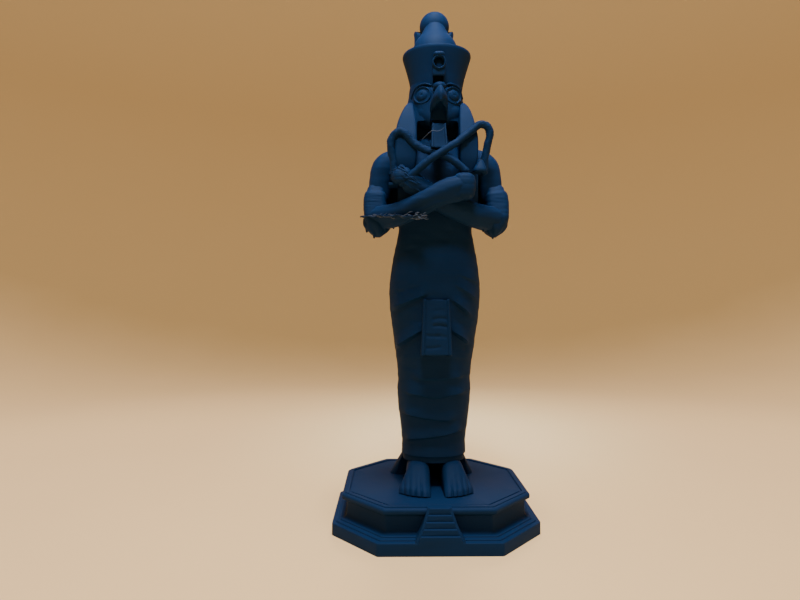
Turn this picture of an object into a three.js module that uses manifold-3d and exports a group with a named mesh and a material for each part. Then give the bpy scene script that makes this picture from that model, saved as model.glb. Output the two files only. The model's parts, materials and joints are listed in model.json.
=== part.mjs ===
// A falcon-headed mummiform figurine with a double crown and two crooks, standing on an octagonal
// plinth, printed as one piece of blue plastic. Millimetres, +Z up, the front towards -Y. The origin
// is the middle of the plinth's underside.

import * as THREE from 'three';
import { LoftGeometry } from 'three/addons/geometries/LoftGeometry.js';
import { mergeVertices } from 'three/addons/utils/BufferGeometryUtils.js';
import Module from 'manifold-3d';

const wasm = await Module();
wasm.setup();

// Plinth: a slab, two beads, a recessed die, and a cornice whose rim stands round a sunk panel
const slabHalfWidth = 34.5;
const slabHalfDepth = 34.4;
const slabHeight = 4;
const cornerCutWidth = 15.3;
const cornerCutDepth = 17.8;
const beadInset = 1.3;
const beadRise = 0.45;
const dieInset = 4.7;
const dieHeight = 5.5;
const flareRun = 1.4;
const corniceInset = 3.15;
const corniceSlope = 1;
const corniceHeight = 2;
const rimWidth = 3;
const rimStep = 0.6;
const panelDepth = 0.5;
const depthInsetRatio = 1.25;

// Stair on the plinth's front
const stairSteps = 5;
const stairFootHalfWidth = 6.9;
const stairHeadHalfWidth = 2.8;
const stringerWidth = 1.1;
const stringerProud = 0.35;

// Figure, from its soles to the top of the crown. Its proportions follow a canon of 170 equal parts,
// and it leans a little to its left as it rises.
const figureHeight = 170;
const canonParts = 170;
const leanSlope = 0.0073;
const standOff = 0;

// Bandages: height at the middle of the front, drop towards the sides, rise towards the left, and depth
const bandages = [
  { height: 75.8, arch: 5.8, tilt: 0, depth: 0.3 },
  { height: 73.2, arch: 8.2, tilt: -1.6, depth: 0.4 },
  { height: 67.8, arch: 9.2, tilt: -2.3, depth: 0.6 },
  { height: 57, arch: 9.5, tilt: 0, depth: 0.6 },
  { height: 45.4, arch: 1.2, tilt: 0, depth: 0.4 },
  { height: 37.6, arch: -0.6, tilt: 0.4, depth: 0.5 },
  { height: 31.4, arch: -1.7, tilt: 0, depth: 0.6 },
  { height: 23.8, arch: -0.5, tilt: -1.3, depth: 0.5 },
  { height: 18, arch: -0.1, tilt: 2, depth: 0.5 },
  { height: 10.9, arch: 0, tilt: 0, depth: 0.5 },
];
const bandageReach = 5;
const bandageLip = 0.35;

const plastic = new THREE.MeshStandardMaterial({ color: 0x123a63, roughness: 0.48, metalness: 0 });

// Joining leaves short edges and thin faces along the creases. Edges shorter than the first length are
// drawn together, and faces thinner than the second are flipped into their neighbours.
const shortestEdge = 0.3;
const thinnestFace = 0.01;
const leastAgreement = 0.8;

// Turns a closed geometry into a solid that can be joined to others and cut by them
function solid(geometry) {
  const bare = new THREE.BufferGeometry().copy(geometry);
  bare.deleteAttribute('normal');
  bare.deleteAttribute('uv');
  const merged = mergeVertices(bare, 1e-4);
  const position = merged.getAttribute('position');
  const corners = merged.index ? Array.from(merged.index.array) : [...Array(position.count).keys()];
  const faces = [];
  const a = new THREE.Vector3();
  const b = new THREE.Vector3();
  const c = new THREE.Vector3();
  let volume = 0;
  for (let i = 0; i < corners.length; i += 3) {
    const [p, q, r] = corners.slice(i, i + 3);
    if (p !== q && q !== r && r !== p) {
      faces.push([p, q, r]);
      a.fromBufferAttribute(position, p);
      b.fromBufferAttribute(position, q);
      c.fromBufferAttribute(position, r);
      volume += a.dot(b.cross(c));
    }
  }
  const outward = volume > 0 ? faces : faces.map(face => face.toReversed());
  return new wasm.Manifold(new wasm.Mesh({
    numProp: 3,
    vertProperties: new Float32Array(position.array),
    triVerts: new Uint32Array(outward.flat()),
  }));
}

// Joins solids into one
function joined(pieces) {
  return pieces.reduce((whole, piece) => whole.add(piece));
}

// Twice a face's area along its outward direction
function faceNormal([a, b, c]) {
  return b.clone().sub(a).cross(c.clone().sub(a));
}

// A closed surface whose short edges and thin faces can be taken out without opening or folding it
class Skin {
  constructor({ vertProperties, triVerts }) {
    this.points = [];
    for (let i = 0; i < vertProperties.length; i += 3) {
      this.points.push(new THREE.Vector3().fromArray(vertProperties, i));
    }
    this.faces = [];
    this.facesAt = this.points.map(() => new Set());
    for (let i = 0; i < triVerts.length; i += 3) {
      this.addFace([...triVerts.slice(i, i + 3)]);
    }
  }

  addFace(face) {
    for (const corner of face) {
      this.facesAt[corner].add(this.faces.length);
    }
    this.faces.push(face);
  }

  removeFace(i) {
    for (const corner of this.faces[i]) {
      this.facesAt[corner].delete(i);
    }
    this.faces[i] = null;
  }

  corners(face) {
    return face.map(corner => this.points[corner]);
  }

  neighbours(point) {
    const found = new Set([...this.facesAt[point]].flatMap(i => this.faces[i]));
    found.delete(point);
    return found;
  }

  // True where a face that takes another's place looks the same way
  agrees(before, after) {
    const from = faceNormal(this.corners(before));
    const to = faceNormal(this.corners(after));
    const thin = from.length() < thinnestFace * shortestEdge;
    return to.length() > 0 && (thin || from.dot(to) > leastAgreement * from.length() * to.length());
  }

  // Draws one end of an edge onto the other end
  collapse(from, to) {
    const near = this.neighbours(to);
    const shared = [...this.neighbours(from)].filter(point => near.has(point));
    const moved = [...this.facesAt[from]].filter(i => !this.faces[i].includes(to));
    const changed = moved.map(i => this.faces[i].map(corner => (corner === from ? to : corner)));
    if (shared.length !== 2 || !moved.every((i, k) => this.agrees(this.faces[i], changed[k]))) {
      return false;
    }
    [...this.facesAt[from]].forEach(i => this.removeFace(i));
    changed.forEach(face => this.addFace(face));
    return true;
  }

  // Gives the face across a thin face's long edge the thin face's far corner
  flip(thin, u, v, w) {
    const across = [...this.facesAt[u]].find(i => i !== thin && this.faces[i].includes(v));
    const far = this.faces[across].find(corner => corner !== u && corner !== v);
    const halves = [[w, u, far], [far, v, w]];
    if (this.neighbours(w).has(far) || !halves.every(half => this.agrees(this.faces[across], half))) {
      return;
    }
    this.removeFace(thin);
    this.removeFace(across);
    halves.forEach(half => this.addFace(half));
  }

  edges() {
    const found = [];
    for (const face of this.faces.filter(Boolean)) {
      face.forEach((from, k) => {
        const to = face[(k + 1) % 3];
        const length = this.points[from].distanceTo(this.points[to]);
        if (from < to && length < shortestEdge) {
          found.push({ from, to, length });
        }
      });
    }
    return found.sort((a, b) => a.length - b.length);
  }

  drawShortEdges() {
    for (const { from, to } of this.edges()) {
      if (this.facesAt[from].size > 0 && this.neighbours(from).has(to)) {
        if (!this.collapse(from, to)) {
          this.collapse(to, from);
        }
      }
    }
  }

  flipThinFaces() {
    this.faces.forEach((face, i) => {
      const span = k => this.points[face[k]].distanceTo(this.points[face[(k + 1) % 3]]);
      const longest = face ? [0, 1, 2].sort((a, b) => span(b) - span(a))[0] : 0;
      if (face && faceNormal(this.corners(face)).length() < thinnestFace * span(longest)) {
        this.flip(i, face[longest], face[(longest + 1) % 3], face[(longest + 2) % 3]);
      }
    });
  }

  geometry() {
    const faces = this.faces.filter(Boolean);
    const used = [...new Set(faces.flat())];
    const place = new Map(used.map((point, i) => [point, i]));
    const geometry = new THREE.BufferGeometry().setFromPoints(used.map(point => this.points[point]));
    geometry.setIndex(faces.flat().map(corner => place.get(corner)));
    geometry.computeVertexNormals();
    return geometry;
  }
}

function meshGeometry(body) {
  const skin = new Skin(body.getMesh());
  for (let pass = 0; pass < 4; pass++) {
    skin.drawShortEdges();
    skin.flipThinFaces();
  }
  return skin.geometry();
}

// Runs a smooth curve through the rows of a table, whose first column is where each row stands
function along(rows, place) {
  const last = rows.length - 1;
  const ascending = rows[last][0] > rows[0][0];
  let i = rows.findIndex(row => (ascending ? row[0] > place : row[0] < place));
  i = i < 0 ? last : Math.max(i, 1);
  const slope = (k, column) => {
    const before = rows[Math.max(k - 1, 0)];
    const after = rows[Math.min(k + 1, last)];
    return (after[column] - before[column]) / (after[0] - before[0]);
  };
  const span = rows[i][0] - rows[i - 1][0];
  const t = THREE.MathUtils.clamp((place - rows[i - 1][0]) / span, 0, 1);
  return rows[i].slice(1).map((value, k) => {
    const column = k + 1;
    const from = rows[i - 1][column];
    const rise = value - from;
    const a = slope(i - 1, column) * span - rise;
    const b = rise - slope(i, column) * span;
    return from + t * rise + t * (1 - t) * ((1 - t) * a + t * b);
  });
}

// Skins closed sections and caps both ends. Sections that wind against their heading are turned round.
function loft(sections) {
  const middle = section => section.reduce((sum, point) => sum.add(point), new THREE.Vector3())
    .divideScalar(section.length);
  const start = middle(sections[0]);
  const heading = middle(sections[1]).sub(start);
  const winding = new THREE.Vector3();
  sections[0].forEach((point, i) => {
    const next = sections[0][(i + 1) % sections[0].length];
    winding.add(point.clone().sub(start).cross(next.clone().sub(start)));
  });
  const turned = winding.dot(heading) < 0 ? sections.map(section => section.toReversed()) : sections;
  return new LoftGeometry(turned, { capStart: true, capEnd: true });
}

// Point of an oval outline that is round for a squareness of 2 and squarer above it
function oval(angle, halfWidth, halfDepth, squareness) {
  const bend = value => Math.sign(value) * Math.abs(value) ** (2 / squareness);
  return [halfWidth * bend(Math.sin(angle)), -halfDepth * bend(Math.cos(angle))];
}

// Closed body of level ovals. Each row gives a level, half-width, half-depth and set-back.
function levelBody(rows, around, steps, { x = 0, squareness = 2 } = {}) {
  const sections = [];
  for (let i = 0; i <= steps; i++) {
    const level = THREE.MathUtils.lerp(rows[0][0], rows.at(-1)[0], i / steps);
    const [halfWidth, halfDepth, setBack] = along(rows, level);
    const section = [];
    for (let j = 0; j < around; j++) {
      const [px, py] = oval((2 * Math.PI * j) / around, halfWidth, halfDepth, squareness);
      section.push(new THREE.Vector3(x + px, setBack + py, level));
    }
    sections.push(section);
  }
  return loft(sections);
}

// Closed limb of ovals that stand across a path and end in domes. Each row of sizes gives a share of
// the path, a half-width that starts level with the ground and a half-height across that.
function limb(points, sizes, around, steps) {
  const path = new THREE.CatmullRomCurve3(points.map(point => new THREE.Vector3(...point)));
  const up = new THREE.Vector3(0, 0, 1);
  const stations = [];
  for (const dome of [70, 35]) {
    stations.push({ share: 0, dome });
  }
  for (let i = 0; i <= steps; i++) {
    stations.push({ share: i / steps, dome: 0 });
  }
  for (const dome of [35, 70]) {
    stations.push({ share: 1, dome });
  }
  const level = new THREE.Vector3().crossVectors(path.getTangent(0), up);
  if (level.length() < 0.4) {
    level.set(1, 0, 0);
  }
  const sections = stations.map(({ share, dome }) => {
    const tangent = path.getTangent(share);
    level.addScaledVector(tangent, -level.dot(tangent)).normalize();
    const across = new THREE.Vector3().crossVectors(level, tangent).normalize();
    const [halfWidth, halfHeight] = along(sizes, share);
    const angle = THREE.MathUtils.degToRad(dome);
    const shrink = Math.cos(angle);
    const shift = Math.sin(angle) * Math.min(halfWidth, halfHeight) * (share < 0.5 ? -1 : 1);
    const middle = path.getPoint(share).addScaledVector(tangent, shift);
    const section = [];
    for (let j = 0; j < around; j++) {
      const turn = (2 * Math.PI * j) / around;
      section.push(middle.clone()
        .addScaledVector(level, halfWidth * shrink * Math.cos(turn))
        .addScaledVector(across, halfHeight * shrink * Math.sin(turn)));
    }
    return section;
  });
  return loft(sections);
}

// Bar of one thickness along a path
function bar(points, radius, around, steps) {
  return limb(points, [[0, radius, radius], [1, radius, radius]], around, steps);
}

// Ball pulled to three radii and set in its place
function ball(centre, radii, around, rings) {
  const geometry = new THREE.SphereGeometry(1, around, rings);
  geometry.rotateX(Math.PI / 2);
  geometry.scale(...radii);
  geometry.translate(...centre);
  return geometry;
}

// Block with an oval or squarish outline between two levels
function block(levels, halfWidths, depths, x, squareness, around) {
  const sections = levels.map((level, i) => {
    const [front, back] = depths[i];
    const section = [];
    for (let j = 0; j < around; j++) {
      const turn = (2 * Math.PI * (j + 0.5)) / around;
      const [px, py] = oval(turn, halfWidths[i], (back - front) / 2, squareness);
      section.push(new THREE.Vector3(x[i] + px, (front + back) / 2 + py, level));
    }
    return section;
  });
  return loft(sections);
}

// The octagon of the slab, drawn in by an inset on all sides
function octagon(inset, level) {
  const halfWidth = slabHalfWidth - inset;
  const halfDepth = slabHalfDepth - inset * depthInsetRatio;
  const nearX = halfWidth * (1 - cornerCutWidth / slabHalfWidth);
  const nearY = halfDepth * (1 - cornerCutDepth / slabHalfDepth);
  const corners = [
    [nearX, -halfDepth], [halfWidth, -nearY], [halfWidth, nearY], [nearX, halfDepth],
    [-nearX, halfDepth], [-halfWidth, nearY], [-halfWidth, -nearY], [-nearX, -halfDepth],
  ];
  return corners.map(([x, y]) => new THREE.Vector3(x, y, level));
}

const beadTop = slabHeight + 2 * beadRise;
const dieTop = beadTop + dieHeight;
const corniceTop = dieTop + corniceSlope + corniceHeight;
const panelTop = corniceTop - panelDepth;

function plinth() {
  const steps = [
    [0, 0],
    [0, slabHeight],
    [beadInset, slabHeight],
    [beadInset, slabHeight + beadRise],
    [2 * beadInset, slabHeight + beadRise],
    [2 * beadInset, beadTop],
  ];
  for (const share of [0, 0.35, 0.7, 1]) {
    const turn = (share * Math.PI) / 2;
    const inset = dieInset - flareRun * (1 - Math.sin(turn));
    steps.push([inset, beadTop + flareRun * (1 - Math.cos(turn))]);
  }
  steps.push([dieInset, dieTop]);
  steps.push([corniceInset, dieTop + corniceSlope]);
  steps.push([corniceInset, corniceTop]);
  let body = solid(loft(steps.map(([inset, level]) => octagon(inset, level))));
  for (const [inset, floor] of [
    [corniceInset + rimWidth - rimStep, corniceTop - panelDepth / 2],
    [corniceInset + rimWidth, panelTop],
  ]) {
    body = body.subtract(solid(loft([octagon(inset, floor), octagon(inset, corniceTop + panelDepth)])));
  }
  return body;
}

// Steps that narrow as they climb, between two stringers, from the slab's front edge to the cornice
function stair() {
  const front = -slabHalfDepth;
  const head = corniceInset * depthInsetRatio - slabHalfDepth;
  const back = dieInset * depthInsetRatio - slabHalfDepth + stringerWidth;
  const rise = (corniceTop - slabHeight) / stairSteps;
  const pieces = [];
  for (let i = 0; i < stairSteps; i++) {
    const stepFront = THREE.MathUtils.lerp(front, head, i / stairSteps);
    const below = slabHeight + i * rise - (i === 0 ? rise / 2 : 0);
    const above = slabHeight + (i + 1) * rise;
    const widthAt = level => THREE.MathUtils.lerp(stairFootHalfWidth, stairHeadHalfWidth,
      THREE.MathUtils.clamp((level - slabHeight) / (corniceTop - slabHeight), 0, 1));
    pieces.push(loft([below, above].map(level => [
      new THREE.Vector3(-widthAt(level), stepFront, level),
      new THREE.Vector3(widthAt(level), stepFront, level),
      new THREE.Vector3(widthAt(level), back, level),
      new THREE.Vector3(-widthAt(level), back, level),
    ])));
  }
  for (const side of [-1, 1]) {
    const ends = [
      [slabHeight - rise / 2, stairFootHalfWidth, front],
      [corniceTop, stairHeadHalfWidth, head - stringerProud],
    ];
    pieces.push(loft(ends.map(([level, inner, face]) => [
      new THREE.Vector3(side * (inner - stringerWidth / 4), face, level),
      new THREE.Vector3(side * (inner + stringerWidth), face, level),
      new THREE.Vector3(side * (inner + stringerWidth), back, level),
      new THREE.Vector3(side * (inner - stringerWidth / 4), back, level),
    ])));
  }
  return pieces;
}

// From here to the figure's assembly, lengths are in parts of the canon and levels are from the soles.
// This placement turns them into millimetres on the plinth's panel.
const placement = new THREE.Matrix4().makeTranslation(standOff, 0, panelTop)
  .multiply(new THREE.Matrix4().makeShear(0, 0, 0, 0, leanSlope, 0))
  .multiply(new THREE.Matrix4().makeScale(figureHeight / canonParts, figureHeight / canonParts,
    figureHeight / canonParts));

function placed(geometry) {
  return solid(geometry.applyMatrix4(placement));
}

const bodyRows = [
  [8.7, 10.5, 9.3, 0.2],
  [20, 11.6, 9.9, 0.3],
  [30.6, 12.9, 10.6, 0.6],
  [38, 12.6, 10.5, 0.4],
  [47.7, 13.5, 11, 0.2],
  [58, 15, 12, 0.4],
  [67, 15.7, 12.4, 0.6],
  [78, 14.6, 11, 0.3],
  [86, 13.1, 9.6, 0],
  [90.5, 13.1, 9.5, 0],
  [94, 16, 9.6, 0.2],
  [98, 18, 9.7, 0.3],
  [107, 18.3, 9.7, 0.8],
  [113, 17.4, 8.8, 1],
  [118, 12.5, 7.4, 1.2],
  [122, 7.5, 6, 1.5],
];

function bandageLine({ height, arch, tilt }, angle) {
  return height - arch * Math.abs(Math.sin(angle)) + tilt * Math.sin(angle);
}

// The wrapped body: rows of points follow the bandages' lower edges, and the cloth swells towards each
function wrappedBody(around) {
  const rowAt = (levelAt, swell) => {
    const section = [];
    for (let j = 0; j < around; j++) {
      const angle = (2 * Math.PI * j) / around;
      const level = levelAt(angle);
      const [halfWidth, halfDepth, setBack] = along(bodyRows, level);
      const [x, y] = oval(angle, halfWidth + swell, halfDepth + swell, 2.15);
      section.push(new THREE.Vector3(x, setBack + y, level));
    }
    return section;
  };
  const top = bodyRows.at(-1)[0];
  const foot = bodyRows[0][0];
  const sections = [];
  for (const level of [top, 118, 113, 106, 98, 94, 90.5]) {
    sections.push(rowAt(() => level, 0));
  }
  let above = () => 88;
  for (const bandage of bandages) {
    const line = angle => bandageLine(bandage, angle);
    const start = above;
    sections.push(rowAt(start, 0));
    const gap = start(0) - line(0);
    if (gap > bandageReach) {
      const share = (gap - bandageReach) / gap;
      sections.push(rowAt(angle => THREE.MathUtils.lerp(start(angle), line(angle), share), 0));
    }
    sections.push(rowAt(line, bandage.depth));
    above = angle => line(angle) - bandageLip;
  }
  sections.push(rowAt(above, 0));
  sections.push(rowAt(() => foot, 0));
  return loft(sections);
}

// Level of the body's front surface, towards -Y
function bodyFront(level) {
  const [, halfDepth, setBack] = along(bodyRows, level);
  return setBack - halfDepth;
}

// The end of the sash that hangs over the bandages, with borders, creases and a lifted foot
function sash() {
  const top = 64.8;
  const foot = 45.8;
  const centre = -0.2;
  const halfWidthAt = level => THREE.MathUtils.mapLinear(level, top, foot, 4.4, 5.2);
  const frontAt = level => THREE.MathUtils.mapLinear(level, top, foot, bodyFront(top) - 1, bodyFront(foot) - 4.9);
  const plate = (levels, half, proud, x) => loft(levels.map(level => {
    const middle = x(level);
    const front = frontAt(level) - proud;
    return [
      new THREE.Vector3(middle - half(level), front, level),
      new THREE.Vector3(middle + half(level), front, level),
      new THREE.Vector3(middle + half(level), bodyFront(level) + 3, level),
      new THREE.Vector3(middle - half(level), bodyFront(level) + 3, level),
    ];
  }));
  const pieces = [plate([top, foot], halfWidthAt, 0, () => centre)];
  for (const side of [-1, 1]) {
    pieces.push(plate([top, foot - 0.4], () => 0.5, 0.4, level => centre + side * (halfWidthAt(level) - 0.5)));
  }
  for (const level of [57.6, 54.9, 52.5, 48.8]) {
    pieces.push(plate([level + 0.5, level - 0.1], at => halfWidthAt(at) - 0.8, 0.25, () => centre));
  }
  return pieces;
}

// Foot on a flat sole: each row gives a depth, the middle's distance from the axis, a half-width and a height
function foot(side) {
  const rows = [
    [5, 5.3, 2.6, 6],
    [1, 5.5, 3.4, 9.5],
    [-8, 5.8, 3.6, 10.6],
    [-10.5, 6, 3.9, 9.2],
    [-13.2, 6.5, 4.5, 5.9],
    [-15.8, 6.9, 5, 3.4],
    [-17, 6.9, 4.9, 2.4],
  ];
  const sections = rows.map(([depth, middle, halfWidth, height]) => {
    const section = [];
    for (let j = 0; j <= 8; j++) {
      const turn = (Math.PI * j) / 8;
      const bend = Math.sign(Math.cos(turn)) * Math.abs(Math.cos(turn)) ** 0.8;
      section.push(new THREE.Vector3(side * middle - halfWidth * bend, depth, height * Math.sin(turn) ** 0.6));
    }
    section.push(new THREE.Vector3(side * middle + halfWidth, depth, -panelDepth / 2));
    section.push(new THREE.Vector3(side * middle - halfWidth, depth, -panelDepth / 2));
    return section;
  });
  const pieces = [loft(sections)];
  const toes = [
    [3.4, -16.2, 1.6],
    [5.9, -16.6, 1.2],
    [7.9, -16.3, 1.15],
    [9.8, -15.3, 1.05],
    [11.4, -14.1, 0.95],
  ];
  for (const [distance, depth, radius] of toes) {
    pieces.push(ball([side * distance, depth, radius], [radius, radius * 2.2, radius * 1.35], 6, 5));
  }
  return pieces;
}

// Flare of the wrapping behind the heels, cut open in front where the feet come out
function heelFlare() {
  const flare = levelBody([
    [-panelDepth / 2, 15.4, 10.5, 5.2],
    [4, 13.9, 9.6, 4.2],
    [8, 12.3, 8.9, 3.2],
    [12, 10.8, 8.4, 1.6],
  ], 24, 4, { x: -0.5 });
  const opening = new THREE.BoxGeometry(40, 24, 22);
  opening.translate(0, 3.4 - 12, 0);
  return placed(flare).subtract(placed(opening));
}

// Upper arm under its sleeve, the wider sleeve of the elbow, and the forearm that crosses the chest and
// ends in a fist
function arms() {
  const pieces = [];
  for (const side of [-1, 1]) {
    const spread = side > 0 ? 0.5 : 0;
    pieces.push(limb([[side * 13.5, 1.2, 113.4], [side * 17.6, 0.8, 111.8], [side * 18.7, 0, 107.5], [side * 18.9, -0.4, 102]],
      [[0, 5.2, 5.2], [0.45, 4.7, 4.9], [0.7, 4.3, 4.6], [1, 4, 4.4]], 12, 4));
    pieces.push(limb([[side * 21.2, -0.6, 102.8], [side * (21.6 + spread / 2), -1.4, 98], [side * (21 + spread), -2.8, 93]],
      [[0, 3.8, 4.4], [0.6, 3.9, 4.8], [1, 4.1, 4.7]], 12, 3));
  }
  pieces.push(limb([[-20.8, -3.4, 92.6], [-12.6, -10.6, 93.4], [-6, -15.1, 96], [0.5, -16.6, 99.4], [9.6, -15.6, 102.2]],
    [[0, 4.2, 4.4], [0.3, 4, 4.1], [0.6, 4, 4], [0.85, 4.3, 4.4], [1, 4.2, 4.5]], 12, 8));
  pieces.push(limb([[20.8, -3.4, 92.6], [13, -8.6, 93.6], [4, -11.4, 96.6], [-4, -12.7, 100.8], [-11, -13.8, 105]],
    [[0, 4.3, 4.4], [0.3, 4, 4.1], [0.8, 3.5, 3.6], [1, 3.4, 3.6]], 12, 7));
  return pieces;
}

// Thumbs that lie up the crooks' shafts
function thumbs() {
  const thumb = (x, y, level) => block([level - 3, level, level + 4.2], [2.5, 2.2, 0.7],
    [[y - 2.6, y + 2.6], [y - 2.4, y + 2.4], [y - 0.8, y + 0.8]], [x, x, x], 2, 6);
  return [thumb(13.6, -12.6, 107.6), thumb(-13.6, -12.4, 108.6)];
}

// Crooks: each hook rises outside the wig and its shaft runs down across the chest to the other hand
function crooks() {
  const toTheLeft = [
    [15.7, -11.6, 108], [15.8, -12, 112], [16.6, -12.5, 116.5], [17.3, -12.9, 120.5], [16.6, -13, 122.7],
    [14.8, -13, 123.6], [12.9, -13.1, 122.9], [11.2, -13.3, 121.3], [8.1, -13.9, 118.9], [5.6, -14.5, 116.8],
    [2.6, -15.3, 114.8], [-0.4, -16, 112.8], [-3.5, -16.2, 110.6], [-6.6, -15.8, 108], [-12, -14.4, 103.4],
  ];
  const toTheRight = [
    [-14.9, -12.2, 100], [-14.7, -12, 107], [-14.9, -12, 111], [-16, -12.4, 116], [-15.4, -12.6, 119.4],
    [-13.1, -12.8, 121.2], [-11.4, -13, 120.6], [-9.3, -13.1, 118.3], [-6.6, -13.3, 116], [-3.4, -13.7, 114.4],
    [0.2, -14.1, 113.2], [4.3, -14.8, 111.4], [9, -15.2, 107.5],
  ];
  return [bar(toTheLeft, 1.45, 7, 24), bar(toTheRight, 1.45, 7, 24)];
}

// Wig: a bell round the head, open in front under the chin, whose lappets hang on the chest
function wig() {
  const bell = levelBody([
    [143, 9.2, 9.6, 0.6],
    [139.7, 9.6, 10.2, 0.8],
    [136.5, 10, 10.4, 1],
    [132.2, 12, 11, 1.4],
    [126.9, 13.4, 11.4, 2],
    [121.5, 14.9, 11.6, 2.7],
    [116, 15.6, 11, 3.5],
    [110, 15.4, 9, 4.6],
    [106, 13, 6.4, 5.4],
  ], 26, 9, { x: -0.2, squareness: 2.2 });
  const opening = new THREE.BoxGeometry(2 * 6.5, 20, 24);
  opening.translate(0, -12.5, 114);
  let hair = placed(bell).subtract(placed(opening));
  for (const side of [-1, 1]) {
    const foot = side > 0 ? 1.2 : 2.4;
    const lappet = block([107.4, 110, 113, 119, 124, 128], [foot, 3.2, 3.5, 3.5, 3, 2.2],
      [[-12.4, -8], [-13, -7], [-13.3, -6.6], [-12.9, -6], [-11.4, -5], [-9.6, -4]],
      [10.6, 10.2, 10, 10, 9.6, 8.8].map(x => side * x), 3.4, 12);
    hair = hair.add(placed(lappet));
  }
  return hair;
}

// Beard that hangs from the chin as a block with raised borders
function beard() {
  const strip = (halves, proud, shift) => block([115.2, 126], halves,
    [[-14.6 - proud, -11.4], [-13.8 - proud, -10.6]], shift, 30, 4);
  const pieces = [strip([2.7, 2.2], 0, [0.2, 0.2])];
  for (const side of [-1, 1]) {
    pieces.push(strip([0.45, 0.4], 0.35, [0.2 + side * 2.3, 0.2 + side * 1.85]));
  }
  return pieces;
}

// Falcon's head: skull, swollen cheeks, ringed eyes under brow ridges, and a hooked beak
function head() {
  const pieces = [
    levelBody([
      [124.6, 3.2, 3, -6.8],
      [126, 6, 5.6, -5],
      [129.3, 8.6, 8.4, -2.2],
      [133, 9.3, 9.4, -1],
      [136.5, 9.2, 9.6, -0.6],
      [140, 8.6, 9.2, 0],
      [143, 8.2, 8.6, 0.5],
    ], 18, 7),
    levelBody([[104, 6, 4.4, 2.6], [128, 5, 4.8, 1.6]], 12, 1),
    limb([[0.2, -8.5, 133.4], [0.3, -12.6, 134.4], [0.4, -15.8, 134], [0.45, -17.8, 132.2], [0.45, -18.3, 130.2]],
      [[0, 4.2, 4.4], [0.35, 2.9, 2.9], [0.65, 1.9, 1.8], [0.85, 1.1, 1], [1, 0.45, 0.45]], 10, 6),
    limb([[0.2, -8, 127.6], [0.3, -12, 129], [0.4, -14.8, 130.4]],
      [[0, 3, 2.4], [0.5, 2.2, 1.3], [1, 0.9, 0.6]], 8, 2),
    ball([0.2, -10.4, 126.4], [3.2, 3.2, 1.8], 8, 6),
  ];
  for (const side of [-1, 1]) {
    pieces.push(ball([side * 5, -7.4, 129.2], [4.3, 4.2, 4.3], 12, 8));
    pieces.push(ball([side * 2.7, -11.2, 125.9], [1.25, 1.25, 1.2], 6, 5));
    const eye = new THREE.SphereGeometry(2.2, 10, 6);
    eye.scale(1, 0.6, 1);
    const ring = new THREE.TorusGeometry(2.75, 0.5, 4, 14);
    ring.rotateX(Math.PI / 2);
    for (const shape of [eye, ring]) {
      shape.rotateZ(side * 0.42);
      shape.translate(side * 5.4, -9.1, 135);
      pieces.push(shape);
    }
    pieces.push(bar([[side * 1.4, -11.2, 137.6], [side * 4.8, -10.6, 138.5], [side * 8.2, -7.6, 137.8]], 0.7, 5, 3));
  }
  return pieces;
}

// Double crown: a flared cup with a tall spire at its back, and a bulb-topped crown that leans back in it
function crown() {
  const setBack = 0.8;
  const rim = 11.9;
  const shift = -0.35;
  const cupProfile = [
    [0, 141], [9.2, 141], [9.6, 142.3], [10.3, 144.8], [11.4, 147.6], [rim, 150.4],
    [rim - 0.5, 151.8], [rim - 1.4, 151.5], [rim - 1.7, 149.6], [0, 149.4],
  ];
  const cup = new THREE.LatheGeometry(cupProfile.map(([x, y]) => new THREE.Vector2(x, y)), 28);
  cup.rotateX(Math.PI / 2);
  cup.translate(0.1, setBack, 0);
  const halfTurn = THREE.MathUtils.degToRad(34.5);
  const wall = new THREE.Shape();
  wall.absarc(0, 0, rim, Math.PI / 2 - halfTurn, Math.PI / 2 + halfTurn, false);
  wall.absarc(0, 0, rim - 1.8, Math.PI / 2 + halfTurn, Math.PI / 2 - halfTurn, true);
  const spire = new THREE.ExtrudeGeometry(wall, { depth: 15.6, bevelEnabled: false, curveSegments: 7 });
  spire.translate(shift, setBack, 148.4);
  const white = levelBody([
    [148, 8.3, 8.3, 1.2],
    [153, 8.1, 8.1, 1.4],
    [156.5, 7.3, 7.3, 2],
    [160, 5.4, 5.4, 3.2],
    [162.5, 4.3, 4.3, 4.2],
    [165, 3.7, 3.7, 5.4],
    [167, 2.4, 2.4, 6],
  ], 18, 6, { x: shift });
  return [cup, spire, white, ball([shift, 6.4, 165], [5, 5, 5], 14, 9)];
}

// Rearing cobra on the front of the crown: coil, neck, spread hood and head
function cobra() {
  return [
    ball([0, -10, 138.8], [1.9, 2.6, 2], 8, 5),
    bar([[0, -10.4, 138.6], [0, -11.6, 141], [0, -11.4, 143.4]], 1.3, 6, 3),
    ball([0, -11.9, 144.9], [2.3, 1.5, 2.4], 10, 6),
    ball([0, -12.6, 147.9], [1.5, 1.7, 0.9], 8, 5),
    bar([[0, -10.4, 147], [0, -12, 147.6]], 0.9, 5, 1),
  ];
}

// Soft edge of plastic left where the print's support was torn away under the left elbow of the picture
function supportScar() {
  const lip = loft([-25.7, -22, -16, -9].map((x, i) => {
    const [front, back, level, thick] = [
      [-5.5, -2, 93.3, 0.15], [-8.6, -0.5, 93.2, 0.35], [-12.6, -4, 92.8, 0.4], [-15.6, -9, 92.6, 0.3],
    ][i];
    return [
      new THREE.Vector3(x, front, level - thick),
      new THREE.Vector3(x, back, level - thick),
      new THREE.Vector3(x, back, level + thick),
      new THREE.Vector3(x, front, level + thick),
    ];
  }));
  return lip;
}

function figure() {
  const carvings = [
    wrappedBody(32),
    ...sash(),
    ...foot(-1),
    ...foot(1),
    ...arms(),
    ...thumbs(),
    ...crooks(),
    ...beard(),
    ...head(),
    ...crown(),
    ...cobra(),
    supportScar(),
  ];
  return [...carvings.map(placed), heelFlare(), wig()];
}

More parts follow.
